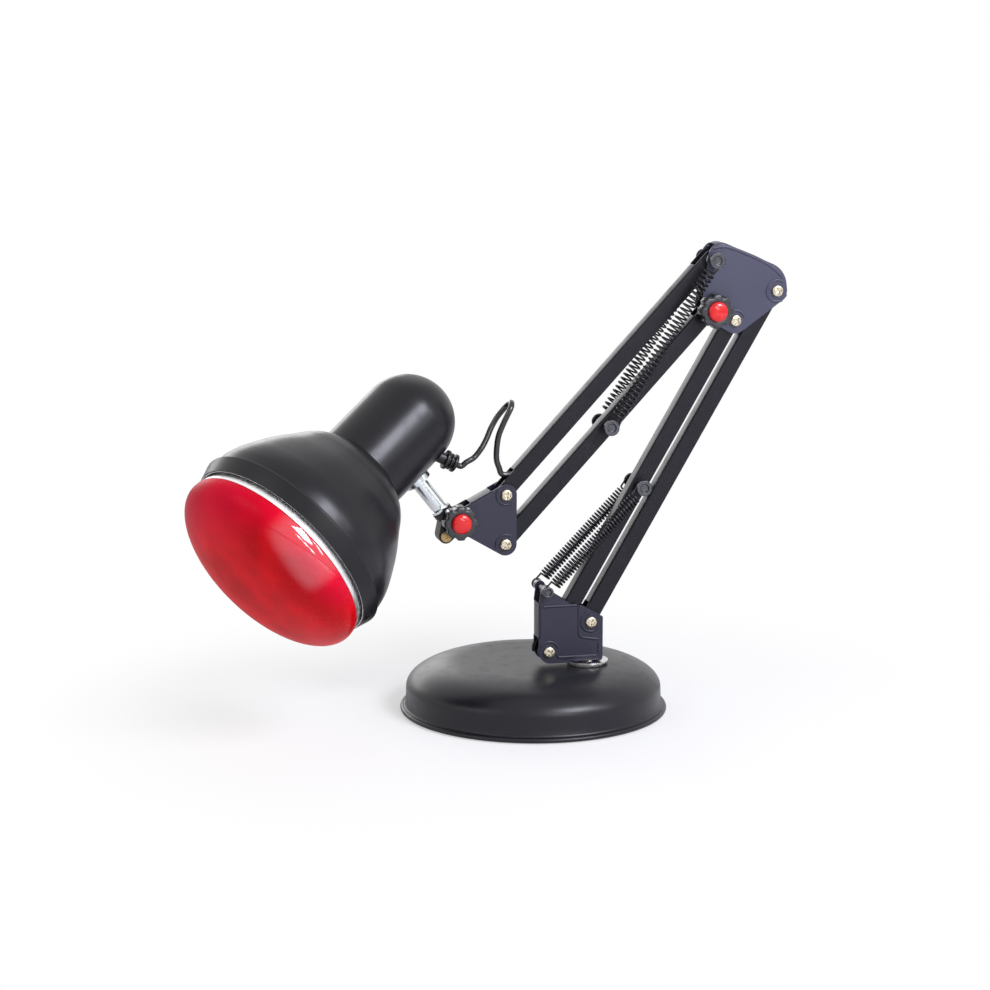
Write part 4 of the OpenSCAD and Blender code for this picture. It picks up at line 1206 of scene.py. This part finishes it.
@dataclass
class Bracket(Assembly):
    """Swivelling bracket at the foot of the arm."""

    back: float = -2.1
    front: float = 38.5
    half: float = 7.0
    sheet: float = 1.2
    lobe_r: float = 7.4

    def outline(self) -> tuple[Array, list[Fold]]:
        """The side plates' outline, and its folds: the back and the foot."""
        low = ARM.floor + 16.0
        high = ARM.floor + 38.0
        lobe = ARM.b + [1.3, 0.0]
        corner = arc((self.front - 2.5, ARM.floor + 2.5), 2.5, -90, 0, 8)
        points = [corner, [[self.front, ARM.a[1] + 3.0]], [ARM.a + [-4.0, 10.0]], [ARM.a + [-12.8, 12.0]],
                  [ARM.anchor + [5.2, -2.6]], arc(ARM.anchor, 3.3, -20, 205, 24),
                  [[self.back, high]], [[self.back, low]],
                  arc(lobe, self.lobe_r, 180, 265, 14), [[18.5, ARM.floor]], [[self.front - 2.7, ARM.floor]]]
        outline = np.concatenate([np.asarray(p, float).reshape(-1, 2) for p in points])
        back = sum(len(p) for p in points[:6])
        foot = len(outline) - 2
        return outline, [Fold(back, back + 1), Fold(foot, foot + 1)]

    def lines(self) -> list[Array]:
        """The lines pressed into the side plates."""
        low_line = np.concatenate([[[35.9, 45.2], [35.9, 39.5]], arc((33.9, 39.3), 2.0, 0, -90, 5),
                                   [[13.0, 37.3]], arc((11.2, 39.3), 2.0, 270, 180, 5)])
        high_line = np.concatenate([[[23.2, 69.0], [23.2, 54.5]], arc((26.6, 52.2), 3.4, 170, 250, 6),
                                    [[30.5, 48.2], [35.6, 47.4]]])
        return [np.array([[0.6, 69.6], [10.0, 69.6], [21.6, 69.6]]), high_line, low_line,
                arc(ARM.b, 6.4, 20, 200, 16), arc(ARM.a, 6.0, 100, 320, 20)]

    def build(self) -> None:
        """Folds the bracket, presses its lines and dresses its hardware."""
        piece = Sheet(*self.outline(), self.half, self.sheet, 1.6).make("bracket_sheet")
        self.add(piece, Look.PLATE, "swivel", "arm_bracket")
        self.add(beads("bracket_beads", self.lines(), self.half, 0.95), Look.PLATE, "swivel")
        self.keep(Look.ZINC, "swivel_pin", "pin_nut")
        self.edged(Look.WASHER, "swivel", "swivel_washer", 0.25)
        screws = Screw(ARM.a).surfaces() + Screw(ARM.b, slot_turn=55.0).surfaces()
        self.add(join("pivot_screws_base", screws), Look.ZINC, "swivel", "bracket_screws")
        pin = Stud(ARM.anchor, self.half, neck_r=2.0, flange_r=3.4, end=14.3, collar_r=3.2, collar_end=11.5)
        self.add(join("spring_pin", pin.surfaces()), Look.STUD, "swivel", "spring_anchor")
        self.keep(Look.NYLON, "bracket_spacers")
        self.keep(Look.CORD, "bracket_lead")


@dataclass
class Bar(Assembly):
    """A U-shaped bar between two pivots, its web on one side."""

    name: str
    body: str
    near: Array
    length: float
    slope: float
    side: float
    shift: float
    web_far: float
    web_near: float = 10.0
    half: float = 5.0
    width: float = 10.0
    sheet: float = 1.0

    def build(self) -> None:
        """Folds the bar in its own frame, then turns it to its slope."""
        mid = self.side * self.shift
        r = self.width / 2
        far = arc((self.length, mid), r, -90, 90, CORNER_STEPS)
        near = arc((0, mid), r, 90, 270, CORNER_STEPS)
        level = mid + self.side * r
        edge = np.array([[self.web_near, level], [self.length - self.web_far, level]])
        flat = np.concatenate([far, edge[::-1], near] if self.side > 0 else [near, edge, far])
        way = polar(1.0, self.slope)
        outline = self.near + flat[:, :1] * way + flat[:, 1:] * np.array([-way[1], way[0]])
        web = Fold(len(far), len(far) + 1)
        piece = Sheet(outline, [web], self.half, self.sheet, 1.4).make(self.name + "_sheet")
        self.add(piece, Look.BAR, self.body, self.name)


@dataclass
class Posts(Assembly):
    """The studs halfway along two bars, which hold the springs' far hooks."""

    seat: float = 5.0

    def build(self) -> None:
        """Turns the studs of each bar."""
        for name, body, at in (("lower", "lower_rear", ARM.lower_post),
                               ("upper", "upper_bottom", ARM.upper_post)):
            studs = join(name + "_studs", Stud(at, self.seat).surfaces())
            self.add(studs, Look.STUD, body, name + "_spring_posts")


@dataclass
class Knob(Assembly):
    """Scalloped clamping knob with a domed red cap."""

    name: str
    body: str
    at: Array
    radius: float = 10.5
    thick: float = 9.0
    cap: float = 6.1
    foot: float = 8.2
    scallops: int = 8
    cut_r: float = 2.3
    cut_out: float = 0.9
    recess: float = 1.4
    edge: tuple[tuple[float, float], ...] = ((-1.5, 0.0), (-0.8, 0.15), (-0.3, 0.5), (0.0, 1.1))

    def rim(self, t: Array) -> Array:
        """The knob's radius at angle t.

        A circle is cut by smaller circles set evenly round it. The corners
        between them are softened: instead of the smaller of two lengths a and
        b it takes -log(exp(-sharp a) + exp(-sharp b)) / sharp.

        Args:
            t: angles in radians.

        Returns:
            The radius at each angle.
        """
        pitch = 2 * np.pi / self.scallops
        off = (t % pitch) - pitch / 2
        centre = self.radius + self.cut_out
        inside = self.cut_r ** 2 - (centre * np.sin(off)) ** 2
        dent = np.where(inside > 0, centre * np.cos(off) - np.sqrt(np.maximum(inside, 0)), self.radius)
        sharp = 6
        return -np.logaddexp(-sharp * np.minimum(dent, self.radius), -sharp * self.radius) / sharp + 0.11

    def build(self) -> None:
        """Raises the scalloped rim, then a face whose scallops fade towards
        the cap's seat, and sets the cap into it."""
        t = np.linspace(0, 2 * np.pi, 240, endpoint=False)
        rim = self.rim(t)
        seat = self.cap + 0.15
        floor = self.thick - self.recess
        rings = [(rim - back, height) for height, back in ((0.0, 0.6), (0.25, 0.2), (0.8, 0.0))]
        rings += [(rim - back, self.thick + down) for down, back in self.edge]
        rings += [(seat + (rim - 1.1 - seat) * share, height)
                  for share, height in ((0.45, self.thick), (0.12, self.thick), (0.0, self.thick - 0.12),
                                        (0.0, floor))]
        rings += [(0.0, floor), (0.0, 0.0)]
        body = join(self.name + "_body", [wrapped(across(self.at, self.foot), rings, t)], 50.0)
        self.add(body, Look.KNOB, self.body, self.name)
        a = np.radians(np.linspace(0, 90, 14))
        dome = np.stack([self.cap * np.cos(a) ** 0.8, 2.1 + 2.4 * np.sin(a)], axis=1)
        dome[-1, 0] = 0.0
        profile = np.concatenate([[[0.0, 0.0], [self.cap, 0.0]], dome])
        place = across(self.at, self.foot + self.thick - 1.5)
        button = turned(self.name + "_button", place, profile, 72, 60.0)
        self.add(button, Look.RED, self.body, self.name + "_cap")


@dataclass
class Elbow(Assembly):
    """Folded elbow plate that joins the lower and upper bars."""

    half: float = 7.0
    sheet: float = 1.2
    border: tuple[tuple[float, float], ...] = (
        (106.4, 286.8), (114.8, 287.4), (127.6, 282.9), (138.4, 278.0), (146.0, 273.1), (151.6, 267.8))

    def build(self) -> None:
        """Folds the plate round its outline and presses its inner line."""
        discs = [Disc(*ARM.c, 7.0), Disc(*(ARM.c + [-8.4, 2.6]), 15.0), Disc(*(ARM.e + [4.9, 1.5]), 8.7),
                 Disc(*ARM.f, 7.0), Disc(*ARM.d, 8.0)]
        folded = run(discs[:3], -20.0, 115.0)
        rest = run([discs[2], discs[3], discs[4], discs[0]], 115.0, 340.0)[1:-1]
        web = Fold(0, len(folded) - 1)
        sheet = Sheet(np.concatenate([folded, rest]), [web], self.half, self.sheet, 1.8)
        # The elbow's sheet, beads and border wear the lighter copy of the plate paint, a painted sheen.
        self.add(sheet.make("elbow_sheet"), Look.PLATE_PAINTED_LIT, "elbow", "elbow_shell")
        lines = [arc(ARM.c, 6.6, 60, 300, 24), arc(ARM.d, 6.2, 20, 200, 20)]
        self.add(beads("elbow_beads", lines, self.half, 1.0), Look.PLATE_PAINTED_LIT, "elbow")
        border = spline(np.array(self.border), 6)
        self.add(beads("elbow_border", [border], self.half, 1.2, 0.55), Look.PLATE_PAINTED_LIT, "elbow")
        screws = Screw(ARM.c, slot_turn=70.0).surfaces() + Screw(ARM.d, slot_turn=35.0).surfaces()
        self.add(join("pivot_screws_elbow", screws), Look.ZINC, "elbow", "elbow_screws")
        bolt = Stud(ARM.e, self.half, through_r=2.5)
        self.add(join("hook_bolt", bolt.surfaces()), Look.STUD, "elbow", "elbow_hook_bolt")
        self.edged(Look.ZINC, "elbow", "elbow_clamp_bolt", 0.2)
        self.keep(Look.NYLON, "elbow_spacers")
        self.keep(Look.CORD, "elbow_lead")
        Knob("elbow_knob", "elbow_knob", ARM.f).build()


@dataclass
class HeadBracket(Assembly):
    """Folded plate at the end of the arm, with the tilt knob."""

    half: float = 7.0
    sheet: float = 1.2

    def build(self) -> None:
        """Folds the plate with a short web on its upper edge."""
        h, g, k = Disc(*ARM.h, 6.9), Disc(*ARM.g, 6.5), Disc(*ARM.k, 5.5)
        up = tangent(g, k)
        down = tangent(k, h)
        start = g.centre + g.r * polar(1.0, up)
        end = k.centre + k.r * polar(1.0, up)
        way = (start - end) / np.linalg.norm(start - end)
        first = run([h, g], down, up)
        last = arc(k.centre, k.r, up, up + (down - up) % 360.0, CORNER_STEPS)
        outline = np.concatenate([first, [end + 26.5 * way, end + 12.0 * way], last[:-1]])
        web = Fold(len(first), len(first) + 1)
        piece = Sheet(outline, [web], self.half, self.sheet, 1.6).make("head_sheet")
        self.add(piece, Look.PLATE, "head_bracket", "head_bracket")
        lines = [arc(ARM.g, 6.1, 150, 300, 20), arc(ARM.h, 6.0, 60, 200, 20)]
        self.add(beads("head_beads", lines, self.half, 0.9), Look.PLATE, "head_bracket")
        screws = Screw(ARM.g, slot_turn=10.0).surfaces() + Screw(ARM.h, slot_turn=60.0).surfaces()
        self.add(join("pivot_screws_head", screws), Look.ZINC, "head_bracket", "head_screws")
        self.edged(Look.ZINC, "head_bracket", "head_clamp_bolt", 0.2)
        self.keep(Look.NYLON, "head_spacers")
        Knob("head_knob", "head_knob", ARM.k).build()


@dataclass
class Head(Assembly):
    """Knuckle, stem, shade, lampholder and bulb.

    The head's own frame has its origin where the stem's axis meets the
    shade's. The lamp shines along -X there, and the stem comes up along +Z.
    """

    tilt: float = 52.3
    turn: float = 23.0
    reach: float = 64.0
    offset: float = 3.3
    stem_r: float = 4.8
    cap_r: float = 28.9
    cap_back: float = 19.0
    cap_front: float = 26.9
    bell_len: float = 61.7
    bell_r: float = 63.8
    step_r: float = 65.8
    band: float = 10.1
    edge_r: float = 62.6
    bulb_r: float = 62.5
    proud: float = 8.7
    dome: float = 24.5
    skin: float = 1.0
    glass: float = 1.5
    gland_len: float = 11.0
    flare: tuple[tuple[float, float], ...] = (
        (0, 0), (5, 0.2), (10, 0.325), (15, 0.415), (20, 0.51), (25, 0.605), (30, 0.69), (35, 0.765),
        (40, 0.835), (45, 0.902), (50, 0.953), (55, 0.985), (61.7, 1))
    swell: tuple[tuple[float, float], ...] = (
        (0, 0), (0.1, 0.03), (0.2, 0.1), (0.3, 0.22), (0.4, 0.36), (0.5, 0.49), (0.6, 0.61),
        (0.7, 0.72), (0.8, 0.82), (0.9, 0.91), (0.95, 0.963), (0.975, 0.985), (1, 1))

    @property
    def knuckle_turn(self) -> Array:
        """Rotation of the stem's frame."""
        return turn("y", self.tilt - 90.0)

    @property
    def head_turn(self) -> Array:
        """Rotation of the head's frame."""
        return self.knuckle_turn @ turn("z", self.turn)

    @property
    def mouth(self) -> float:
        """Height of the bell's wide end on the head's axis."""
        return self.cap_front + self.bell_len

    def stem_spot(self, p: Sequence[float]) -> Array:
        """A point of the stem's frame in the lamp's."""
        return spread(ARM.k, 0.0) + self.knuckle_turn @ (np.asarray(p, float) - [self.offset, 0, 0])

    def head_spot(self, p: Sequence[float]) -> Array:
        """A point of the head's frame in the lamp's."""
        return self.stem_spot([0, 0, self.reach]) + self.head_turn @ np.asarray(p, float)

    @property
    def axis(self) -> Place:
        """Lathe place on the head's axis, heights towards the front."""
        ways = self.head_turn
        return Place(self.head_spot([0, 0, 0]), ways @ [-1.0, 0, 0], ways @ [0, 0, 1.0])

    @property
    def stem_axis(self) -> Place:
        """Lathe place on the stem's axis."""
        ways = self.knuckle_turn
        return Place(self.stem_spot([0, 0, 0]), ways @ [0, 0, 1.0], ways @ [1.0, 0, 0])

    @property
    def gland(self) -> Place:
        """Lathe place of the gland on the cap, heights outwards."""
        roll = turn("x", -10.0)
        ways = self.head_turn @ roll @ turn("y", -25.0) @ turn("x", 180.0)
        foot = np.array([19.0, 0, 0]) + roll @ np.array([0, 0, -self.cap_r])
        return Place(self.head_spot(foot), ways @ [0, 0, 1.0], ways @ [1.0, 0, 0])

    def build(self) -> None:
        """Builds the moving head from the knuckle to the bulb."""
        self.knuckle()
        self.shade()
        self.bulb()
        self.gland_piece()

    def knuckle(self) -> None:
        """Cast knuckle, rivet and bright stem."""
        self.edged(Look.BRONZE, "knuckle", "knuckle", 0.5)
        self.edged(Look.BRASS, "knuckle", "knuckle_rivet", 0.25)
        foot = 3.9
        top = self.reach - self.cap_r + 7
        bore = 3.4
        wide = self.stem_r + 1.2
        pipe = rounded([[bore, foot], [self.stem_r, foot], [self.stem_r, 10.1], [wide, 10.1],
                        [wide, 12.1], [self.stem_r, 12.1], [self.stem_r, top], [bore, top]],
                       [0, 0, 0, 0.4, 0.4, 0, 0.3, 0])
        self.add(turned("stem_pipe", self.stem_axis, pipe, 64), Look.CHROME, "knuckle", "stem_tube")
        self.edged(Look.CHROME, "head", "stem_saddle", 0.25)
        self.keep(Look.ZINC, "stem_nut", "holder_clamp")

    def cap_profile(self) -> Array:
        """The cap's profile: a straight side and a quarter circle, outside
        and inside."""
        a = np.radians(np.linspace(0, -90, 40))
        skins = []
        for r in (self.cap_r, self.cap_r - self.skin):
            dome = np.stack([r * np.cos(a), -self.cap_back + r * np.sin(a)], axis=1)
            dome[-1, 0] = 0.0
            skins.append(np.concatenate([[[r, self.cap_front]], dome]))
        return np.concatenate([skins[0], skins[1][::-1]])

    def bell(self, inset: float) -> Array:
        """The bell's profile: a smooth curve through the flare's stations,
        which are heights above the cap and shares of the growth in radius."""
        f = spline(np.array(self.flare), 6)
        return np.stack([self.cap_r + (self.bell_r - self.cap_r) * f[:, 1] - inset,
                         self.cap_front + f[:, 0]], axis=1)

    def bell_profile(self) -> Array:
        """The closed profile: bell, stepped rim band, inside and neck."""
        edge = self.mouth + self.band
        band = rounded([[self.step_r, self.mouth], [self.edge_r, edge], [self.edge_r - 1, edge],
                        [self.step_r - 1, self.mouth + 1.6]], [1.5, 0.4, 0.4, 0.5], 8)
        lip = [[self.bell_r, self.mouth - 0.5], [self.bell_r + 0.3, self.mouth]]
        root = [[self.bell_r - 1, self.mouth + 1.0]]
        neck = self.cap_r - 2.1
        front, back = self.cap_front, self.cap_front - 7.0
        collar = [[neck, front + 1.0], [neck, back], [neck + 1.0, back], [neck + 1.0, front - 0.3]]
        inside = self.bell(self.skin)[::-1][4:-4]
        return np.concatenate([self.bell(0.0)[1:-1], lip, band, root, inside, collar])

    def shade(self) -> None:
        """Domed cap, and the bell with its stepped rim band."""
        cap = turned("shade_cap", self.axis, self.cap_profile(), 160, 50.0)
        self.add(cap, Look.SHADE, "head", "head_cap")
        bell = turned("shade_bell", self.axis, self.bell_profile(), 200, 40.0)
        self.mark_inner(bell)
        self.add(bell, Look.SHADE, "head", "bell_shade")
        self.keep(Look.PORCELAIN, "lampholder")

    def back_profile(self, joint: float, joint_r: float) -> Array:
        """The bulb's silvered back.

        Args:
            joint: height at which it meets the front.
            joint_r: its radius there.

        Returns:
            The closed profile.
        """
        foot = 2.0
        neck = 16.0
        swell = spline(np.array(self.swell), 4)
        outer = np.stack([neck + (joint_r - neck) * swell[:, 1],
                          foot + 2 + (joint - foot - 2) * swell[:, 0]], axis=1)
        inner = (outer - [self.glass, 0])[::-1][:-4]
        collar = [[8, foot + 0.1], [12.8, foot + 0.1], [12.8, foot + 1.7]]
        return np.concatenate([collar, outer, inner, [[8, foot + 4]]])

    def front_profile(self, joint: float, joint_r: float, wide: float) -> Array:
        """The bulb's ruby front.

        Args:
            joint: height at which it meets the back.
            joint_r: its radius there.
            wide: height of its widest ring, where the dome starts.

        Returns:
            The closed profile.
        """
        a = np.radians(np.linspace(0, 90, 44))
        side = rounded([[joint_r - 0.5, joint + 0.1], [self.bulb_r - 0.3, joint + 0.5],
                        [self.bulb_r, wide], [self.bulb_r - 0.2, wide + 1]], [0, 0.5, 0, 0])[:-1]
        domes = []
        for inset in (0.0, self.glass):
            dome = np.stack([(self.bulb_r - inset) * np.cos(a),
                             wide + (self.dome - inset) * np.sin(a)], axis=1)
            dome[-1, 0] = 0.0
            domes.append(dome)
        return np.concatenate([side, domes[0], domes[1][::-1], [[joint_r - self.glass, joint + 0.1]]])

    def bulb(self) -> None:
        """Silvered back, ruby front with its domed face, and screw cap."""
        wide = self.mouth + self.band + self.proud
        joint = wide - 3.5
        joint_r = self.bulb_r - 0.6
        back = turned("bulb_back", self.axis, self.back_profile(joint, joint_r), 160, 60.0)
        self.add(back, Look.SILVER, "head", "bulb_reflector")
        front = turned("bulb_lens", self.axis, self.front_profile(joint, joint_r, wide), 192, 60.0)
        self.map_dome(front)
        self.add(front, Look.GLASS, "head", "bulb_front")
        self.keep(Look.BRASS, "bulb_screw_cap")
        self.keep(Look.MOUNT, "bulb_filament")

    def mark_inner(self, skin: bpy.types.Object) -> None:
        """Writes the attribute "inner": 1 where the skin faces the axis."""
        co, normal = np.zeros((2, len(skin.data.vertices) * 3))
        skin.data.vertices.foreach_get("co", co)
        skin.data.vertices.foreach_get("normal", normal)
        rel = co.reshape(-1, 3) - self.axis.foot * MM
        out = rel - (rel @ self.axis.way)[:, None] * self.axis.way
        facing = (out * normal.reshape(-1, 3)).sum(axis=1)
        layer = skin.data.attributes.new("inner", "FLOAT", "POINT")
        layer.data.foreach_set("value", (facing < 0).astype(np.float32))

    def map_dome(self, lens: bpy.types.Object) -> None:
        """Writes the UV map "dome": metres across and up from the axis."""
        place = self.axis
        right = np.cross(place.way, place.side)
        co = np.zeros(len(lens.data.vertices) * 3)
        lens.data.vertices.foreach_get("co", co)
        rel = co.reshape(-1, 3) - place.foot * MM
        corner = np.zeros(len(lens.data.loops), int)
        lens.data.loops.foreach_get("vertex_index", corner)
        uv = np.stack([rel @ right, rel @ place.side], axis=1)[corner]
        layer = lens.data.uv_layers.new(name="dome")
        layer.data.foreach_set("uv", uv.astype(np.float32).ravel())

    def gland_piece(self) -> None:
        """Ribbed gland where the lead enters the cap."""
        bore = 2.0
        body = 3.6
        shape = rounded([[bore, -3], [body, -3], [body, 3.4], [6, 3.4], [6, 5.4], [body, 5.4], [body, 6.6],
                         [5.2, 6.6], [5.2, 7.8], [body, 7.8], [body, 9.0], [5.6, 9.0],
                         [5.6, self.gland_len], [bore, self.gland_len]],
                        [0, 0.2, 0.2, 0.5, 0.5, 0.3, 0.3, 0.4, 0.4, 0.3, 0.3, 0.5, 0.6, 0.3], 4)
        self.add(turned("cap_gland", self.gland, shape, 64), Look.GLAND, "head", "head_gland")
        self.keep(Look.CORD, "head_lead")


@dataclass
class Lead(Assembly):
    """The free loop of the lead from the top bar to the cap's gland."""

    diameter: float = 3.6
    straight: float = 3.8
    shares: tuple[float, float, float] = (0.33, 0.465, 0.735)
    points: tuple[tuple[float, float, float], ...] = (
        (-0.5, 0, 11.5), (-3, 0, 16), (-4.5, 0, 21), (-4.5, -0.6, 28), (-3.5, -1.3, 35.5), (-1, -2.2, 42.5),
        (2.4, -2.8, 49.8), (3.9, -2.1, 52.4), (4.9, -0.1, 54.3), (5.3, 2.6, 55), (4.8, 5.3, 54.2),
        (3.4, 7.2, 52.2), (1.4, 7.9, 49.8), (-2.6, 7.7, 45), (-6.3, 6.9, 39), (-9.5, 5.7, 32.5),
        (-13, 4.7, 27), (-17.5, 4, 22), (-22.5, 3, 19.5))

    def route(self, head: Head) -> Array:
        """The cord's middle line, straight at both ends.

        Args:
            head: the head, which knows where its gland ends.

        Returns:
            The points.
        """
        gland = head.gland
        start = ARM.along(ARM.e, ARM.upper_slope, ARM.upper_len - 18.5, -1.5)
        ahead = start + self.straight * polar(1.0, ARM.upper_slope)
        tip = gland.foot + head.gland_len * gland.way
        return spline(np.concatenate([
            spread(np.array([start, ahead]), 0.0), spread(ARM.g, 0.0) + np.array(self.points),
            [tip + self.straight * gland.way, tip]]), 8)

    def build(self, head: Head) -> None:
        """Runs the cord in three stretches: up to its top, halfway down, and on
        to the gland.

        Args:
            head: the head, which knows where its gland ends.
        """
        route = self.route(head)
        gone = np.concatenate([[0], np.cumsum(np.linalg.norm(np.diff(route, axis=0), axis=1))])
        settled, top, low = (int(np.searchsorted(gone, gone[-1] * share)) for share in self.shares)
        end = len(route) - 1
        rings = tube_points(route, self.diameter / 2, 20)
        stretches = (("upper_top", "head_bracket", 0, top, settled),
                     ("head_bracket", "knuckle", top, low, low),
                     ("knuckle", "head", low, end, end))
        for k, (start_body, end_body, first, last, bent) in enumerate(stretches):
            piece = join(f"cord_loop_{k + 1}", [skinned(rings[first:last + 1])], 50.0)
            self.paint(piece, Look.CORD)
            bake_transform(piece)
            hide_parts("cord_loop")
        self.keep(Look.CORD, "lower_arm_lead", "upper_arm_lead")


@dataclass(frozen=True)
class SoftBox:
    """A soft area light: where it stands, what it faces, its size in metres
    and its power in watts."""

    name: str
    spot: tuple[float, float, float]
    target: tuple[float, float, float]
    wide: float
    high: float
    power: float
    tint: Colour = (1.0, 1.0, 1.0)

    def build(self) -> None:
        """Makes the light, which the camera doesn't see."""
        light = bpy.data.lights.new(self.name, "AREA")
        light.shape = "RECTANGLE"
        light.size = self.wide
        light.size_y = self.high
        light.energy = self.power
        light.color = self.tint
        lamp = bpy.data.objects.new(self.name, light)
        lamp.location = self.spot
        way = Vector(self.target) - Vector(self.spot)
        lamp.rotation_euler = way.to_track_quat("-Z", "Y").to_euler()
        lamp.visible_camera = False
        bpy.context.scene.collection.objects.link(lamp)


@dataclass
class Studio:
    """Pale floor, soft light and the photograph's camera."""

    camera_at: tuple[float, float, float] = (-0.4091, -1.5423, 0.4412)
    look: tuple[float, float, float] = (0.2376, 0.95295, -0.18824)
    lens: float = 96.0
    ambient: float = 0.36
    boxes: tuple[SoftBox, ...] = (
        SoftBox("key_light", (0.81, -1.37, 1.38), (0.0, 0.0, 0.15), 0.75, 0.75, 38.0, (0.87, 0.88, 1.0)),
        SoftBox("left_light", (-1.7, -0.6, 1.1), (0.0, 0.0, 0.15), 1.0, 1.0, 4.0),
        SoftBox("web_light", (-0.35, 1.55, 0.52), (0.03, 0.0, 0.2), 1.2, 0.45, 4.0),
        SoftBox("top_light", (0.42, 1.15, 1.5), (0.0, 0.0, 0.1), 0.9, 0.9, 1.0),
        SoftBox("rim_light", (1.2, -0.98, 0.83), (-0.13, -0.05, 0.16), 0.12, 0.5, 1.8),
        *(SoftBox(f"window_pane_{i}", spot, (-0.16, -0.11, 0.13), 0.27, 0.27, 2.4)
          for i, spot in enumerate(((0.126, -1.91, 0.948), (0.338, -1.967, 0.686), (0.58, -1.94, 0.447)))))

    def build(self) -> None:
        """Makes the camera first, then the floor, the lights and the world."""
        scene = bpy.context.scene
        scene.view_settings.view_transform = "Standard"
        camera = bpy.data.objects.new("photo_camera", bpy.data.cameras.new("photo_camera"))
        camera.location = self.camera_at
        camera.rotation_euler = Vector(self.look).to_track_quat("-Z", "Y").to_euler()
        camera.data.lens = self.lens
        camera.data.sensor_width = 36.0
        camera.data.clip_start = 0.05
        camera.data.clip_end = 50.0
        scene.collection.objects.link(camera)
        scene.camera = camera
        self.floor()
        for box in self.boxes:
            box.build()
        self.world()

    def floor(self) -> None:
        """A wide flat floor, white to the camera save for its shadows."""
        s = 6.0
        mesh = bpy.data.meshes.new("floor")
        mesh.from_pydata([(-s, -s, 0), (s, -s, 0), (s, s, 0), (-s, s, 0)], [], [(0, 1, 2, 3)])
        floor = bpy.data.objects.new("floor", mesh)
        bpy.context.scene.collection.objects.link(floor)
        look = Shader("floor_paper")
        paper = look.blend(look.noise(40.0), (0.9, 0.9, 0.9), (0.93, 0.93, 0.93))
        lit = look.surface(Base_Color=paper, Roughness=0.9, Specular_IOR_Level=0.1)
        white = look.node("ShaderNodeEmission", {}, {"Color": WHITE, "Strength": 1.0})
        away = look.node("ShaderNodeVectorMath", {"operation": "LENGTH"}, {0: look.place()}, out="Value")
        share = look.ray("Is Camera Ray") * (away.between(90.0, 330.0) * 0.5 + 0.5)
        mesh.materials.append(look.finished(look.mix(share, lit, white)))

    def world(self) -> None:
        """White to the camera, in reflections and behind glass, softer as light."""
        world = bpy.data.worlds.new("studio")
        bpy.context.scene.world = world
        world.use_nodes = True
        sky = Nodes(world.node_tree)
        ambient = sky.node("ShaderNodeBackground", {}, {"Color": WHITE, "Strength": self.ambient})
        white = sky.node("ShaderNodeBackground", {}, {"Color": WHITE, "Strength": 1.0})
        shown = sky.ray("Is Camera Ray").larger(sky.ray("Is Transmission Ray"))
        shown = shown.larger(sky.ray("Is Glossy Ray"))
        sky.node("ShaderNodeOutputWorld", {}, {"Surface": sky.mix(shown, ambient, white)})


def main() -> None:
    """Loads the frame, builds the lamp from the floor up and logs each piece's finish and face count."""
    logging.basicConfig(level=logging.INFO, format="%(message)s")
    Assembly.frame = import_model()
    Studio().build()
    head = Head()
    Lead().build(head)
    Base().build()
    Bracket().build()
    for name, body, near in (("lower_rear_bar", "lower_rear", ARM.b),
                             ("lower_front_bar", "lower_front", ARM.a)):
        Bar(name, body, near, ARM.lower_len, ARM.lower_slope, 1.0, shift=1.3, web_far=10.0).build()
    Elbow().build()
    for name, body, near, shift, web_far in (("upper_top_bar", "upper_top", ARM.e, 1.3, 14.5),
                                             ("upper_bottom_bar", "upper_bottom", ARM.f, 0.4, 10.0)):
        Bar(name, body, near, ARM.upper_len, ARM.upper_slope, -1.0, shift, web_far).build()
    Posts().build()
    HeadBracket().build()
    head.build()
    Springs().build()


if __name__ == "__main__":
    main()
